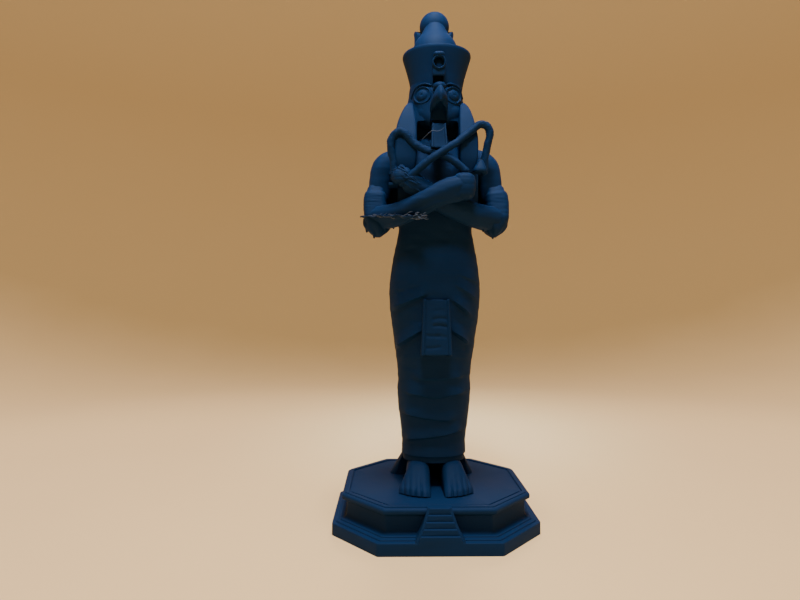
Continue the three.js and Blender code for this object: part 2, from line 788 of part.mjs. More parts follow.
const whole = joined([plinth(), ...stair().map(solid), ...figure()]);

const figurine = new THREE.Mesh(meshGeometry(whole), plastic);
figurine.name = 'figurine';

const model = new THREE.Group();
model.add(figurine);

export default model;
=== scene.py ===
import json

import bpy
import numpy as np
from bpy.props import FloatProperty, FloatVectorProperty, IntProperty, PointerProperty
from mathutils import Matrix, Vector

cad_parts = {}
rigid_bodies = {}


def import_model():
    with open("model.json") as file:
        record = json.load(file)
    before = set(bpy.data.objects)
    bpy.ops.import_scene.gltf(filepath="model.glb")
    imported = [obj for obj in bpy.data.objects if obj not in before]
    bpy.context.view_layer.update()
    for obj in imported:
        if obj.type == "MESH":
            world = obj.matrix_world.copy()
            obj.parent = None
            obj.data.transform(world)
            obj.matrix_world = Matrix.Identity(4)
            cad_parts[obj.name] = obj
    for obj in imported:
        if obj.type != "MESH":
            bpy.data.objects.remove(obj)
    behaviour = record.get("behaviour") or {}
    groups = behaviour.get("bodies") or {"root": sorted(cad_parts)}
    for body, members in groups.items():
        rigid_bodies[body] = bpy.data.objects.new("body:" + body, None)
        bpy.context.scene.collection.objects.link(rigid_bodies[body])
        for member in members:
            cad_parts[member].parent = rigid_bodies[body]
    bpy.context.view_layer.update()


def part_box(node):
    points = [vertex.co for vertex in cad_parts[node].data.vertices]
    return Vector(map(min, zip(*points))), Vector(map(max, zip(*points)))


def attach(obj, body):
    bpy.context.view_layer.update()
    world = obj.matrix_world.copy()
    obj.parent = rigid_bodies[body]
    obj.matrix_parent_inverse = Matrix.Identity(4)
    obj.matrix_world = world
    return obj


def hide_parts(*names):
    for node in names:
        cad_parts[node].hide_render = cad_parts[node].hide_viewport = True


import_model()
low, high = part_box("figurine")

bl_info = {
    "name": "Falcon-headed mummiform figurine",
    "version": (1, 0, 0),
    "blender": (4, 5, 0),
    "location": "View3D > Sidebar > Figurine",
    "description": "A printed plastic statuette with a double crown and two crooks on a stepped plinth",
    "category": "Mesh",
}

MM = 0.001
CANON = 170
FORMS = "forms"
QUARTER = np.pi / 2
TURN = 2 * np.pi
SIDES = ((-1, "right"), (1, "left"))


# Sizes and colours

def measure(name, description, default):
    """Property of a length in metres."""
    return FloatProperty(name=name, description=description, default=default, unit="LENGTH")


def watts(name, description, default):
    """Property of a light's power."""
    return FloatProperty(name=name, description=description, default=default, unit="POWER")


def factor(name, description, default, subtype="FACTOR"):
    """Property of a plain factor, or of another subtype."""
    return FloatProperty(name=name, description=description, default=default, subtype=subtype)


def tint(name, description, default):
    """Property of a colour."""
    return FloatVectorProperty(name=name, description=description, default=default, size=3,
                               subtype="COLOR")


class PlinthSizes(bpy.types.PropertyGroup):
    half_width: measure("Half width", "From the middle to the slab's side", high.x)
    half_depth: measure("Half depth", "From the middle to the slab's front", -low.y)
    slab_height: measure("Slab height", "Height of the slab's outer face", 4 * MM)
    corner_width: measure("Corner cut, width", "How much of the width a corner takes off", 15.3 * MM)
    corner_depth: measure("Corner cut, depth", "How much of the depth a corner takes off", 17.8 * MM)
    die_height: measure("Die height", "Height of the recess below the cornice", 5.5 * MM)
    cornice_height: measure("Cornice height", "Height of the cornice's upright face", 2 * MM)
    panel_depth: measure("Panel depth", "How deep the panel lies below the rim", 0.5 * MM)
    edge: measure("Edge softness", "Radius of the plinth's printed edges", 0.28 * MM)
    steps: IntProperty(name="Steps", description="Steps of the stair on the front", default=5, min=2)


class FigureSizes(bpy.types.PropertyGroup):
    height: measure("Height", "From the soles to the top of the crown", 170 * MM)
    lean: factor("Lean", "How far the figure leans to its left for each unit of height", 0.0073)
    wrap_depth: factor("Wrapping", "Strength of the bandages' raised edges", 1.3)
    crook_radius: measure("Crook radius", "Radius of the crooks' bars", 1.27 * MM)
    thread_radius: measure("Thread radius", "Radius of a loose thread of plastic", 0.1 * MM)
    crease_angle: factor("Crease angle", "Edges bent more than this stay sharp", np.radians(38),
                         "ANGLE")


class PlasticLook(bpy.types.PropertyGroup):
    colour: tint("Blue", "Colour of the plastic", (0.0027, 0.0225, 0.082))
    deep: tint("Deep blue", "Colour where the layers lie thick", (0.0021, 0.0172, 0.062))
    torn: tint("Torn plastic", "Colour of threads and torn support", (0.075, 0.105, 0.165))
    roughness: factor("Roughness", "Roughness of the printed surface", 0.66)
    sheen: factor("Sheen", "Strength of the surface's reflection", 0.08)
    layer: measure("Layer", "Height of one printed layer", 0.2 * MM)


class StageLook(bpy.types.PropertyGroup):
    floor: tint("Floor", "Colour of the floor", (0.98, 0.68, 0.355))
    # The wall colour is painted shade: it darkens and warms the floor where it rises, in place of the light
    # falling away up the backdrop.
    wall: tint("Wall", "Colour the floor takes on where it rises", (0.38, 0.243, 0.092))
    sky: tint("Ambient", "Colour of the room's light", (0.80, 0.90, 1.0))
    ambient: factor("Ambient strength", "Strength of the room's light", 0.048)
    overhead: watts("Overhead power", "Power of the soft light above", 17)
    front: watts("Front power", "Power of the narrow soft light before the head", 0.058)
    fill: watts("Fill power", "Power of the soft light before the plinth", 0.003)
    back: watts("Back power", "Power of the soft light behind the figure", 0.03)


def sizes(name):
    """The scene's group of properties of this name."""
    return getattr(bpy.context.scene, name)


# Surfaces

def along(rows, places):
    """Cubic through the rows of a table, whose first column says where a row stands; each row's slope is
    that of the line between its neighbours. Gives the other columns at every place."""
    table = np.array(rows, float)
    table = table[np.argsort(table[:, 0])]
    stand, values = table[:, 0], table[:, 1:]
    last = len(stand) - 1
    after = np.minimum(np.arange(last + 1) + 1, last)
    before = np.maximum(np.arange(last + 1) - 1, 0)
    slope = (values[after] - values[before]) / (stand[after] - stand[before])[:, None]
    places = np.asarray(places, float)
    i = np.clip(np.searchsorted(stand, places, side="right"), 1, last)
    span = (stand[i] - stand[i - 1])[..., None]
    t = np.clip((places - stand[i - 1])[..., None] / span, 0, 1)
    start = values[i - 1]
    rise = values[i] - start
    a = slope[i - 1] * span - rise
    b = rise - slope[i] * span
    return start + t * rise + t * (1 - t) * ((1 - t) * a + t * b)


def smooth(value, start, end):
    """Rises from 0 at the start to 1 at the end with level ends: 3t² - 2t³."""
    t = np.clip((value - start) / (end - start), 0, 1)
    return t * t * (3 - 2 * t)


RIPPLE_WAVES = 7
RIPPLE_PACES = (0.6, 1.6)
RIPPLE_GAIN = 1.6


def ripple(points, length, seed):
    """Unevenness of about -1 to 1: the mean of sine waves of about one length in seeded directions, times
    a gain."""
    draw = np.random.default_rng(seed)
    heading = draw.normal(size=(RIPPLE_WAVES, 3))
    heading /= np.linalg.norm(heading, axis=1)[:, None]
    pace = TURN / (length * draw.uniform(*RIPPLE_PACES, RIPPLE_WAVES))
    phase = draw.uniform(0, TURN, RIPPLE_WAVES)
    return np.sin((points @ heading.T) * pace + phase).mean(-1) * RIPPLE_GAIN


def turns(count, start=0):
    """Angles at equal steps round a full turn."""
    return (np.arange(count) + start) * TURN / count


def bent(value, power):
    """The power of a value's size, with its sign kept."""
    return np.sign(value) * np.abs(value) ** power


def gaps(rows, around, closed=False):
    """Corners of the four-sided gaps between neighbouring rows, each closed on itself. A closed grid also
    has the gaps from its last row to its first."""
    row, here = np.arange(rows if closed else rows - 1)[:, None], np.arange(around)[None]
    after, beside = (row + 1) % rows, (here + 1) % around
    corners = ((row, here), (row, beside), (after, beside), (after, here))
    return np.stack([down * around + side for down, side in corners], -1).reshape(-1, 4)


def outward(points, *faces):
    """Points and their triangles, which are turned round if they enclose a negative volume."""
    faces = np.concatenate(faces)
    p = points[faces]
    volume = np.einsum("ij,ij->i", p[:, 0], np.cross(p[:, 1], p[:, 2])).sum()
    return points, faces if volume > 0 else faces[:, ::-1]


def skin(sections, ends=None):
    """Closed surface through rows of points: a triangle pair in each gap between two rows, and a fan from
    the middle of each end row, or from the given ends."""
    rows, around = sections.shape[:2]
    tips = [sections[0].mean(0), sections[-1].mean(0)] if ends is None else ends
    points = np.concatenate([sections.reshape(-1, 3), np.array(tips, float)])
    quads = gaps(rows, around)
    start = np.arange(around)
    end = start + (rows - 1) * around
    first = rows * around
    return outward(points, quads[:, :3], quads[:, [0, 2, 3]],
                   np.stack([np.roll(start, -1), start, np.full(around, first)], -1),
                   np.stack([end, np.roll(end, -1), np.full(around, first + 1)], -1))


def torus(sections):
    """Closed surface whose rows also close on each other, with a triangle pair in each gap."""
    quads = gaps(*sections.shape[:2], closed=True)
    return outward(sections.reshape(-1, 3), quads[:, :3], quads[:, [0, 2, 3]])


def oval(angle, half_width, half_depth, squareness=2):
    """Outline of an oval at an angle from the front: half-width times the sine and half-depth times minus
    the cosine, each raised to 2 over the squareness."""
    power = 2 / squareness
    return half_width * bent(np.sin(angle), power), -half_depth * bent(np.cos(angle), power)


def level_body(rows, around, steps, x=0, squareness=2, relief=None):
    """Level ovals one above another. A row gives a level, half-width, half-depth and set-back, and
    relief(angle, level) is added to both halves."""
    levels = np.linspace(rows[0][0], rows[-1][0], steps + 1)
    half_width, half_depth, set_back = along(rows, levels).T[..., None]
    angle = turns(around)[None]
    level = np.broadcast_to(levels[:, None], (len(levels), around))
    swell = relief(angle, level) if relief else 0
    px, py = oval(angle, half_width + swell, half_depth + swell, squareness)
    return skin(np.stack([x + px, set_back + py, level], -1))


def curve(points, places):
    """Centripetal cubic through points, with ends carried on in a straight line."""
    knots = np.array(points, float)
    knots = np.concatenate([[2 * knots[0] - knots[1]], knots, [2 * knots[-1] - knots[-2]]])
    place = np.clip(places, 0, 1) * (len(points) - 1)
    i = np.minimum(place.astype(int), len(points) - 2)
    w = (place - i)[:, None]
    p0, p1, p2, p3 = (knots[i + k] for k in range(4))
    d0, d1, d2 = (np.sqrt(np.linalg.norm(b - a, axis=1))[:, None]
                  for a, b in ((p0, p1), (p1, p2), (p2, p3)))
    t1 = ((p1 - p0) / d0 - (p2 - p0) / (d0 + d1) + (p2 - p1) / d1) * d1
    t2 = ((p2 - p1) / d1 - (p3 - p1) / (d1 + d2) + (p3 - p2) / d2) * d1
    return p1 + t1 * w + (3 * (p2 - p1) - 2 * t1 - t2) * w ** 2 + (2 * (p1 - p2) + t1 + t2) * w ** 3


DOME = np.radians([80, 62, 42, 21])
PATH_STEP = 1e-4
NEAR_UPRIGHT = 0.4


def limb(points, rows, around, steps, relief=None, shape=None):
    """Ovals across a path, with domed ends. A row gives a share of the path, the half-width that starts
    level with the ground and the half-height across it. The shape gives the section's two parts at a turn
    in place of cosine and sine; relief(turn, share, points) is added outward."""
    share = np.concatenate([np.zeros(len(DOME)), np.linspace(0, 1, steps + 1), np.ones(len(DOME))])
    bend = np.concatenate([DOME, np.zeros(steps + 1), DOME[::-1]])
    tangent = curve(points, share + PATH_STEP) - curve(points, share - PATH_STEP)
    tangent /= np.linalg.norm(tangent, axis=1)[:, None]
    level = np.cross(tangent[0], [0, 0, 1])
    level = np.array([1.0, 0, 0]) if np.linalg.norm(level) < NEAR_UPRIGHT else level
    levels = []
    for heading in tangent:
        level = level - heading * (level @ heading)
        level = level / np.linalg.norm(level)
        levels.append(level)
    levels = np.array(levels)
    across = np.cross(levels, tangent)
    size = along(rows, share)
    reach = np.sin(bend) * size.min(1) * np.where(share < 0.5, -1, 1)
    middle = curve(points, share) + tangent * reach[:, None]
    turn = turns(around)[None, :, None]
    half = (size * np.cos(bend)[:, None])[:, None, :]
    sideways, upward = shape(turn) if shape else (np.cos(turn), np.sin(turn))
    sections = (middle[:, None] + levels[:, None] * half[..., :1] * sideways
                + across[:, None] * half[..., 1:] * upward)
    if relief:
        out = levels[:, None] * np.cos(turn) + across[:, None] * np.sin(turn)
        swell = relief(turn[..., 0], share[:, None], sections) * np.cos(bend)[:, None]
        sections = sections + out * swell[..., None]
    return skin(sections)


def bar(points, radius, around, steps, relief=None):
    """Limb of one radius all along."""
    return limb(points, [[0, radius, radius], [1, radius, radius]], around, steps, relief)


def ball(centre, radii, around=32, rings=20):
    """Ball pulled to three radii: sines and cosines of two angles."""
    tilt = (np.arange(1, rings) * np.pi / rings)[:, None]
    turn = turns(around)[None]
    unit = np.stack([np.sin(tilt) * np.sin(turn), -np.sin(tilt) * np.cos(turn),
                     np.cos(tilt) * np.ones_like(turn)], -1)
    shape = lambda p: p * np.array(radii) + np.array(centre)
    return skin(shape(unit), shape(np.array([[0, 0, 1.0], [0, 0, -1.0]])))


BLOCK_BEND = np.linspace(QUARTER * 0.85, 0, 4)


def block(rows, around, steps, squareness, soft):
    """Upright block with squarish outlines and ends rounded by circles of the soft radius. A row gives a
    level, half-width, front, back and middle."""
    foot, top = min(row[0] for row in rows), max(row[0] for row in rows)
    rise, inset = soft * (1 - np.sin(BLOCK_BEND)), soft * (1 - np.cos(BLOCK_BEND))
    inner = np.linspace(foot + soft, top - soft, steps + 1)[1:-1]
    levels = np.concatenate([foot + rise, inner, top - rise[::-1]])
    shrink = np.concatenate([inset, np.zeros(len(inner)), inset[::-1]])[:, None]
    half, front, back, middle = along(rows, levels).T[..., None]
    px, py = oval(turns(around, 0.5)[None], half - shrink, (back - front) / 2 - shrink, squareness)
    level = np.broadcast_to(levels[:, None], px.shape)
    return skin(np.stack([middle + px, (front + back) / 2 + py, level], -1))


def slab(levels, halves, depths, middles=0):
    """Four-sided block with flat faces between levels. Half-widths, pairs of front and back, and middles
    are given for each level, or once for all."""
    side, deep = np.array([[-1, 1, 1, -1], [0, 0, 1, 1]])
    count = len(levels)
    halves, middles = (np.broadcast_to(value, count)[:, None] for value in (halves, middles))
    level = np.broadcast_to(np.array(levels, float)[:, None], (count, 4))
    depth = np.broadcast_to(np.array(depths, float), (count, 2))[:, deep]
    return skin(np.stack([middles + halves * side, depth, level], -1))


# Forms that wait to be fused, in millimetres

def waiting():
    """The collection of forms that wait, made when it is first needed."""
    if FORMS not in bpy.data.collections:
        bpy.context.scene.collection.children.link(bpy.data.collections.new(FORMS))
    return bpy.data.collections[FORMS]


def form(name, surface, placed=True):
    """Keeps a closed surface as an object. Canon parts are scaled to the figure's height, leaned and stood
    on the plinth's panel."""
    points, faces = surface
    if placed:
        figure = sizes("figure_sizes")
        points = points * (figure.height / MM / CANON)
        points = points + np.array([figure.lean, 0, 0]) * points[:, 2:]
        points = points + np.array([0, 0, plinth_levels()["panel"]])
    mesh = bpy.data.meshes.new(name)
    mesh.from_pydata(points.tolist(), [], faces.tolist())
    piece = bpy.data.objects.new(name, mesh)
    waiting().objects.link(piece)
    return piece


def keep(surfaces):
    """Keeps each named surface as a form."""
    for name, surface in surfaces.items():
        form(name, surface)


def fused(base, others, operation="UNION"):
    """Joins closed forms to the base, or cuts them out of it, and keeps the result in the base."""
    pool = bpy.data.collections.new("pool")
    bpy.context.scene.collection.children.link(pool)
    for other in others:
        pool.objects.link(other)
    joint = base.modifiers.new(operation.title(), "BOOLEAN")
    joint.operation = operation
    joint.operand_type = "COLLECTION"
    joint.collection = pool
    joint.solver = "MANIFOLD"
    bpy.context.view_layer.update()
    shown = base.evaluated_get(bpy.context.evaluated_depsgraph_get())
    whole = bpy.data.meshes.new_from_object(shown)
    base.modifiers.clear()
    base.data = whole
    for other in others:
        bpy.data.objects.remove(other)
    bpy.data.collections.remove(pool)


def carved(base, **openings):
    """Cuts closed surfaces out of the base."""
    fused(base, [form(name, surface) for name, surface in openings.items()], "DIFFERENCE")


# Plinth

BEAD_INSET = 1.3
BEAD_RISE = 0.45
DIE_INSET = 4.7
FLARE_RUN = 1.4
CORNICE_INSET = 3.15
CORNICE_SLOPE = 1
RIM_WIDTH = 3
DEPTH_RATIO = 1.25
NOSE = 0.9
FILLET_RISE = 0.3
GROOVE_WIDTH = 0.6
GROOVE_DEPTH = 0.55
PANEL_SWELL = 0.3
PANEL_RUN = 6
FILLET_RUN = 0.1
CURVE_STEPS = 7
CORNER_STEPS = 6
EDGE_SHARE = 0.45


def plinth_levels():
    """Levels of the plinth's parts in millimetres: from slab to cornice each one adds its height, and the
    panel lies below the cornice."""
    plinth = sizes("plinth_sizes")
    bead = plinth.slab_height / MM + 2 * BEAD_RISE
    die = bead + plinth.die_height / MM
    cornice = die + CORNICE_SLOPE + plinth.cornice_height / MM
    return {"slab": plinth.slab_height / MM, "bead": bead, "die": die, "cornice": cornice,
            "panel": cornice - plinth.panel_depth / MM}


def octagon(inset, level, edge):
    """Eight-sided outline drawn in by an inset, its corners rounded by parabolas."""
    plinth = sizes("plinth_sizes")
    width, depth = plinth.half_width / MM, plinth.half_depth / MM
    far_x, far_y = width - inset, depth - inset * DEPTH_RATIO
    near_x = far_x * (1 - plinth.corner_width / MM / width)
    near_y = far_y * (1 - plinth.corner_depth / MM / depth)
    corners = np.array([[near_x, -far_y], [far_x, -near_y], [far_x, near_y], [near_x, far_y],
                        [-near_x, far_y], [-far_x, near_y], [-far_x, -near_y], [-near_x, -far_y]])
    before = np.roll(corners, 1, axis=0) - corners
    after = np.roll(corners, -1, axis=0) - corners
    before /= np.linalg.norm(before, axis=1)[:, None]
    after /= np.linalg.norm(after, axis=1)[:, None]
    t = np.linspace(0, 1, CORNER_STEPS)[None, :, None]
    arcs = corners[:, None] + before[:, None] * edge * (1 - t) ** 2 + after[:, None] * edge * t ** 2
    outline = arcs.reshape(-1, 2)
    return np.column_stack([outline, np.full(len(outline), level)])


def rounded_profile(corners, radius, steps=4):
    """Profile whose inner corners are replaced by parabolas that start a radius away from them."""
    corners = np.array(corners, float)
    path = [corners[0]]
    for before, corner, after in zip(corners, corners[1:], corners[2:]):
        back, ahead = before - corner, after - corner
        there, here = np.linalg.norm(back), np.linalg.norm(ahead)
        reach = min(radius, there * EDGE_SHARE, here * EDGE_SHARE)
        t = np.linspace(0, 1, steps)[:, None]
        path.extend(corner + back / there * reach * (1 - t) ** 2 + ahead / here * reach * t ** 2)
    path.append(corners[-1])
    return path


def plinth_body():
    """Octagons carried up a profile of beads, flare, nose, rim and groove; flare and nose are quarter
    circles."""
    at = plinth_levels()
    edge = sizes("plinth_sizes").edge / MM
    bend = np.linspace(0, QUARTER, CURVE_STEPS)
    over, under = 1 - np.cos(bend), 1 - np.sin(bend)
    flare = np.column_stack([DIE_INSET - FLARE_RUN * under, at["bead"] + FLARE_RUN * over])
    top = at["cornice"]
    nose = np.column_stack([CORNICE_INSET + NOSE * over, top - FILLET_RISE - NOSE * under])
    fillet = CORNICE_INSET + NOSE + FILLET_RUN
    groove = CORNICE_INSET + RIM_WIDTH
    panel = at["panel"] + PANEL_SWELL
    corners = [
        [0, 0], [0, at["slab"]], [BEAD_INSET, at["slab"]], [BEAD_INSET, at["slab"] + BEAD_RISE],
        [2 * BEAD_INSET, at["slab"] + BEAD_RISE], [2 * BEAD_INSET, at["bead"]],
        *flare,
        [DIE_INSET, at["die"]], [CORNICE_INSET, at["die"] + CORNICE_SLOPE], *nose,
        [fillet, top - FILLET_RISE], [fillet, top],
        [groove - GROOVE_WIDTH, top], [groove - GROOVE_WIDTH, top - GROOVE_DEPTH],
        [groove, top - GROOVE_DEPTH], [groove, panel], [groove + PANEL_RUN, panel],
    ]
    profile = rounded_profile(corners, edge)
    return skin(np.array([octagon(inset, level, 2 * edge) for inset, level in profile]))


STAIR_WIDTHS = [[0, 7.1], [0.2, 5.9], [0.45, 4.8], [0.75, 3.8], [1, 3]]
STRINGER = 0.9
STRINGER_PROUD = 0.35
STRINGER_SHIFT = 0.3
STRINGER_ROWS = 9
TREAD_EDGE = 0.26
# How far a tread's edge lies below its top, and how far back it is worn there, in parts of TREAD_EDGE
TREAD_WEAR = [[1.6, 0], [0.5, 0.3], [0, 1.5]]


def stair_blocks():
    """Steps that narrow as they climb between two stringers, each step with a worn front edge."""
    plinth, at = sizes("plinth_sizes"), plinth_levels()
    front = -plinth.half_depth / MM
    head = front + CORNICE_INSET * DEPTH_RATIO
    back = front + DIE_INSET * DEPTH_RATIO + STRINGER
    foot, rise = at["slab"], (at["cornice"] - at["slab"]) / plinth.steps
    width = lambda level: along(STAIR_WIDTHS, (level - foot) / (at["cornice"] - foot))[..., 0]
    drops, wear = np.array(TREAD_WEAR).T * TREAD_EDGE
    blocks = []
    for i in range(plinth.steps):
        face = front + (head - front) * i / plinth.steps
        below = foot + i * rise - (rise / 2 if i == 0 else 0)
        levels = np.array([below, *(foot + (i + 1) * rise - drops)])
        blocks.append(slab(levels, width(levels), [(face + worn, back) for worn in (0, *wear)]))
    levels = np.linspace(foot - rise / 2, at["cornice"], STRINGER_ROWS)
    faces = [(max(front, face - STRINGER_PROUD), back)
             for face in np.linspace(front, head, STRINGER_ROWS)]
    for side, _ in SIDES:
        middles = side * (width(levels) + STRINGER * STRINGER_SHIFT)
        blocks.append(slab(levels, STRINGER / 2, faces, middles))
    return blocks


# Wrapped body, sash and feet, in canon parts with levels from the soles

BODY = [
    [8.7, 10.5, 9.3, 0.2], [20, 11.7, 9.9, 0.3], [30.6, 12.9, 10.6, 0.6], [38, 12.8, 10.5, 0.4],
    [47.7, 13.9, 11, 0.2], [58, 15.4, 12, 0.4], [67, 16.1, 12.4, 0.6], [75, 15.5, 11.6, 0.4],
    [82, 14.3, 10.3, 0.1], [86, 13.5, 9.6, 0], [90.5, 13.1, 9.5, 0], [94, 16, 9.6, 0.2],
    [98, 18, 9.7, 0.3], [107, 18.3, 9.7, 0.8], [113, 17.4, 8.8, 1], [118, 12.5, 7.4, 1.2],
    [122, 7.5, 6, 1.5],
]
BODY_SQUARENESS = 2.15
WAIST_LEVELS = (90.5, 88)

# Bandages: height in front, drop to the sides, rise to the left, depth, the strength of the edge at the
# front, the left side, the back and the right side, and the turns between which the front edge shows on
# the left and on the right
ALL = (-1, 9)
NONE = (9, 9)
BANDAGES = [
    (75.8, 5.8, 0, 0.45, (0.9, 0.1, 0.7, 0.1), (0.5, 1.05), NONE),
    (73.2, 8.2, -1.6, 0.6, (1, 0.1, 0.7, 0.1), (0.42, 0.95), NONE),
    (67.8, 9.2, -2.3, 1, (0.95, 0.1, 0.7, 0.1), (0.32, 0.74), (0.22, 1.1)),
    (57, 9.5, 0, 1.2, (1, 0.1, 0.5, 0.1), (0.34, 0.78), (0.28, 1.15)),
    (45.4, 1.2, 0, 0.65, (0.3, 0.1, 0.6, 0.1), (0.4, 0.9), (0.4, 0.9)),
    (37.6, -0.6, 0.4, 0.8, (0.7, 0.12, 0.6, 0.12), (-1, 0.72), (-1, 0.5)),
    (31.4, -1.7, 0, 0.85, (0.75, 0.15, 0.7, 0.15), (-1, 0.75), (-1, 0.75)),
    (23.8, -0.5, -1.3, 0.75, (0.85, 0.12, 0.7, 0.12), (-1, 0.45), (-1, 0.95)),
    (18, -0.1, 2, 0.75, (0.85, 0.12, 0.7, 0.12), (-1, 0.75), (-1, 0.95)),
    (10.9, 0, 0, 0.5, (1, 0, 1, 0), ALL, ALL),
]
BANDAGE_REACH = 4.6
BANDAGE_SLOPE = 1.3
BANDAGE_LIP = 0.8
BANDAGE_FADE_IN = 0.12
BANDAGE_FADE_OUT = 0.22
FOOT_SWELL = 0.25

# Short creases of the cloth in front: from x and level, to x and level, and depth
CREASES = [
    (-13.6, 67.4, -10.8, 67.2, 0.3), (-9.5, 68.6, -5, 69.1, 0.16), (1.5, 69.8, 4, 70.4, 0.2),
    (-11.5, 57.5, -4.5, 57.3, 0.22), (-9.2, 62.4, -5.2, 61.6, 0.18), (7, 56.9, 11.6, 56.2, 0.2),
    (6.6, 61, 10.4, 59.8, 0.16), (6.4, 47.6, 10.6, 47.2, 0.2), (5.8, 34.6, 9, 34.4, 0.18),
    (-11.2, 41.4, -6.4, 41, 0.2), (-10.2, 26.6, -3, 28.2, 0.16), (-9.6, 20.8, -4.6, 21.4, 0.14),
    (1, 26.2, 8.6, 27.4, 0.14), (-8.8, 14.6, 4, 14.2, 0.12), (-2, 80.3, 2.5, 80.1, 0.14),
    (5, 83.2, 10.8, 81.6, 0.16), (-11.2, 81.2, -6.6, 82.4, 0.14), (-5, 84.8, 4, 85, 0.1),
]
CREASE_WIDTH = 0.42
CLOTH_ROUGHNESS = 0.07


def bandage_line(bandage, angle):
    """Height in front, less the drop times the sine's size, plus the rise times the sine."""
    height, arch, tilt = bandage[:3]
    return height - arch * np.abs(np.sin(angle)) + tilt * np.sin(angle)


def bandage_strength(bandage, angle):
    """Strength of the edge: the front's value between its turns on each side, plus the sides' and the
    back's by the squares of sine and minus cosine."""
    (front, left, back, right), spans = bandage[4], bandage[5:]
    turn = (angle + np.pi) % TURN - np.pi
    shown = [smooth(away, start - BANDAGE_FADE_IN, start + BANDAGE_FADE_IN)
             * (1 - smooth(away, end - BANDAGE_FADE_OUT, end + BANDAGE_FADE_OUT))
             for away, (start, end) in zip((turn, -turn), spans)]
    ahead = np.where(turn > 0, shown[0], shown[1])
    part = lambda value: np.clip(value, 0, 1) ** 2
    return (front * ahead + left * part(np.sin(angle)) + back * part(-np.cos(angle)) * (1 - ahead)
            + right * part(-np.sin(angle)))


def wrapped_body(around=128, pitch=0.64):
    """Ovals whose rows follow the bandages' lower edges. The cloth swells by each edge's depth over the
    reach above it and falls back over the lip below it; creases sink as narrow bell curves."""
    angle = turns(around)
    flat = np.zeros(around)
    lines = [np.full(around, float(level)) for level in (BODY[-1][0], *WAIST_LEVELS)]
    swells = [flat] * len(lines)
    for bandage in BANDAGES:
        line = bandage_line(bandage, angle)
        lines += [line, line - BANDAGE_LIP]
        swells += [bandage[3] * bandage_strength(bandage, angle), flat]
    lines.append(np.full(around, float(BODY[0][0])))
    swells.append(np.full(around, FOOT_SWELL))
    levels, swell = [], []
    for upper, lower, start, end in zip(lines, lines[1:], swells, swells[1:]):
        count = max(2, int(round((upper - lower).mean() / pitch)))
        for share in np.arange(count) / count:
            level = upper + (lower - upper) * share
            levels.append(level)
            rising = np.clip(1 - (level - lower) / BANDAGE_REACH, 0, 1) ** BANDAGE_SLOPE
            swell.append(np.maximum(end * rising, start * (1 - smooth(share, 0, 1))) if end.any()
                         else start * (1 - share))
    level = np.array([*levels, lines[-1]])
    swell = np.array([*swell, swells[-1]]) * sizes("figure_sizes").wrap_depth
    half_width, half_depth, set_back = np.moveaxis(along(BODY, level), -1, 0)
    outline = lambda more: oval(angle[None], half_width + more, half_depth + more, BODY_SQUARENESS)
    px, py = outline(swell)
    sink = np.zeros_like(px)
    for x1, z1, x2, z2, depth in CREASES:
        run = np.hypot(x2 - x1, z2 - z1)
        t = ((px - x1) * (x2 - x1) + (level - z1) * (z2 - z1)) / run ** 2
        off = ((px - x1) * (z2 - z1) - (level - z1) * (x2 - x1)) / run
        fade = smooth(t, -0.15, 0.2) * (1 - smooth(t, 0.8, 1.15)) * (py < 0)
        sink += depth * fade * np.exp(-(off / CREASE_WIDTH) ** 2)
    rough = CLOTH_ROUGHNESS * ripple(np.stack([px, py, level * 2.2], -1), 5.5, 11)
    px, py = outline(swell - sink + rough)
    return skin(np.stack([px, set_back + py, level], -1))


def body_front(level):
    """Depth of the body's front at a level: the set-back less the half-depth."""
    _, depth, set_back = along(BODY, level).T
    return set_back - depth


SASH_TOP = 64.8
SASH_FOOT = 45.8
SASH_MIDDLE = -0.2
SASH_HALF = 4.4
SASH_WIDENING = 0.8
# How far the sash stands before the body at the belt and at its foot, and how deep it is sunk
SASH_PROUD = (1, 4.9)
SASH_SUNK = 3
SASH_BORDER = 0.45
# Creases of the sash: level, bend to one side, reach across and depth
SASH_CREASES = [
    (57.8, 0.9, 0.7, 0.3), (55.4, 1.3, 0.8, 0.42), (52.9, -0.9, 0.6, 0.26), (51.8, 1, 0.5, 0.2),
    (48.9, -0.7, 0.6, 0.24), (60.6, 0.6, 0.5, 0.12),
]
SASH_CREASE_WIDTH = 0.55


def sash_end(steps=74, across=36):
    """Hanging cloth: its front is a line from the belt to the lifted foot, minus raised borders and plus
    creases that are bell curves of the level; the section is closed behind inside the body."""
    level = np.linspace(SASH_TOP, SASH_FOOT, steps)[:, None]
    share = (SASH_TOP - level) / (SASH_TOP - SASH_FOOT)
    belt, lifted = body_front(np.array([SASH_TOP, SASH_FOOT])) - SASH_PROUD
    u = np.sin(np.linspace(-QUARTER, QUARTER, across))[None]
    away = np.abs(u)
    border = SASH_BORDER * smooth(away, 0.74, 0.84) * (1 - 0.8 * smooth(away, 0.93, 1))
    crease = np.zeros((steps, across))
    for at, side, reach, depth in SASH_CREASES:
        off = level - at - 0.5 * np.sin(2.2 * u + side)
        fade = 1 - smooth(np.abs(u - side * 0.3), reach * 0.6, reach)
        crease += depth * np.exp(-(off / SASH_CREASE_WIDTH) ** 2) * fade
    crease *= 1 - smooth(away, 0.68, 0.8)
    soft = 0.5 * smooth(share, 0.975, 1) + 0.35 * (1 - smooth(share, 0, 0.02))
    front = belt + share * (lifted - belt) - border + crease + soft
    x = SASH_MIDDLE + (SASH_HALF + SASH_WIDENING * share) * u
    back = np.repeat(body_front(level[:, 0])[:, None] + SASH_SUNK, 2, axis=1)
    x = np.concatenate([x, x[:, [-1, 0]]], 1)
    z = np.broadcast_to(level, x.shape)
    return skin(np.stack([x, np.concatenate([front, back], 1), z], -1))


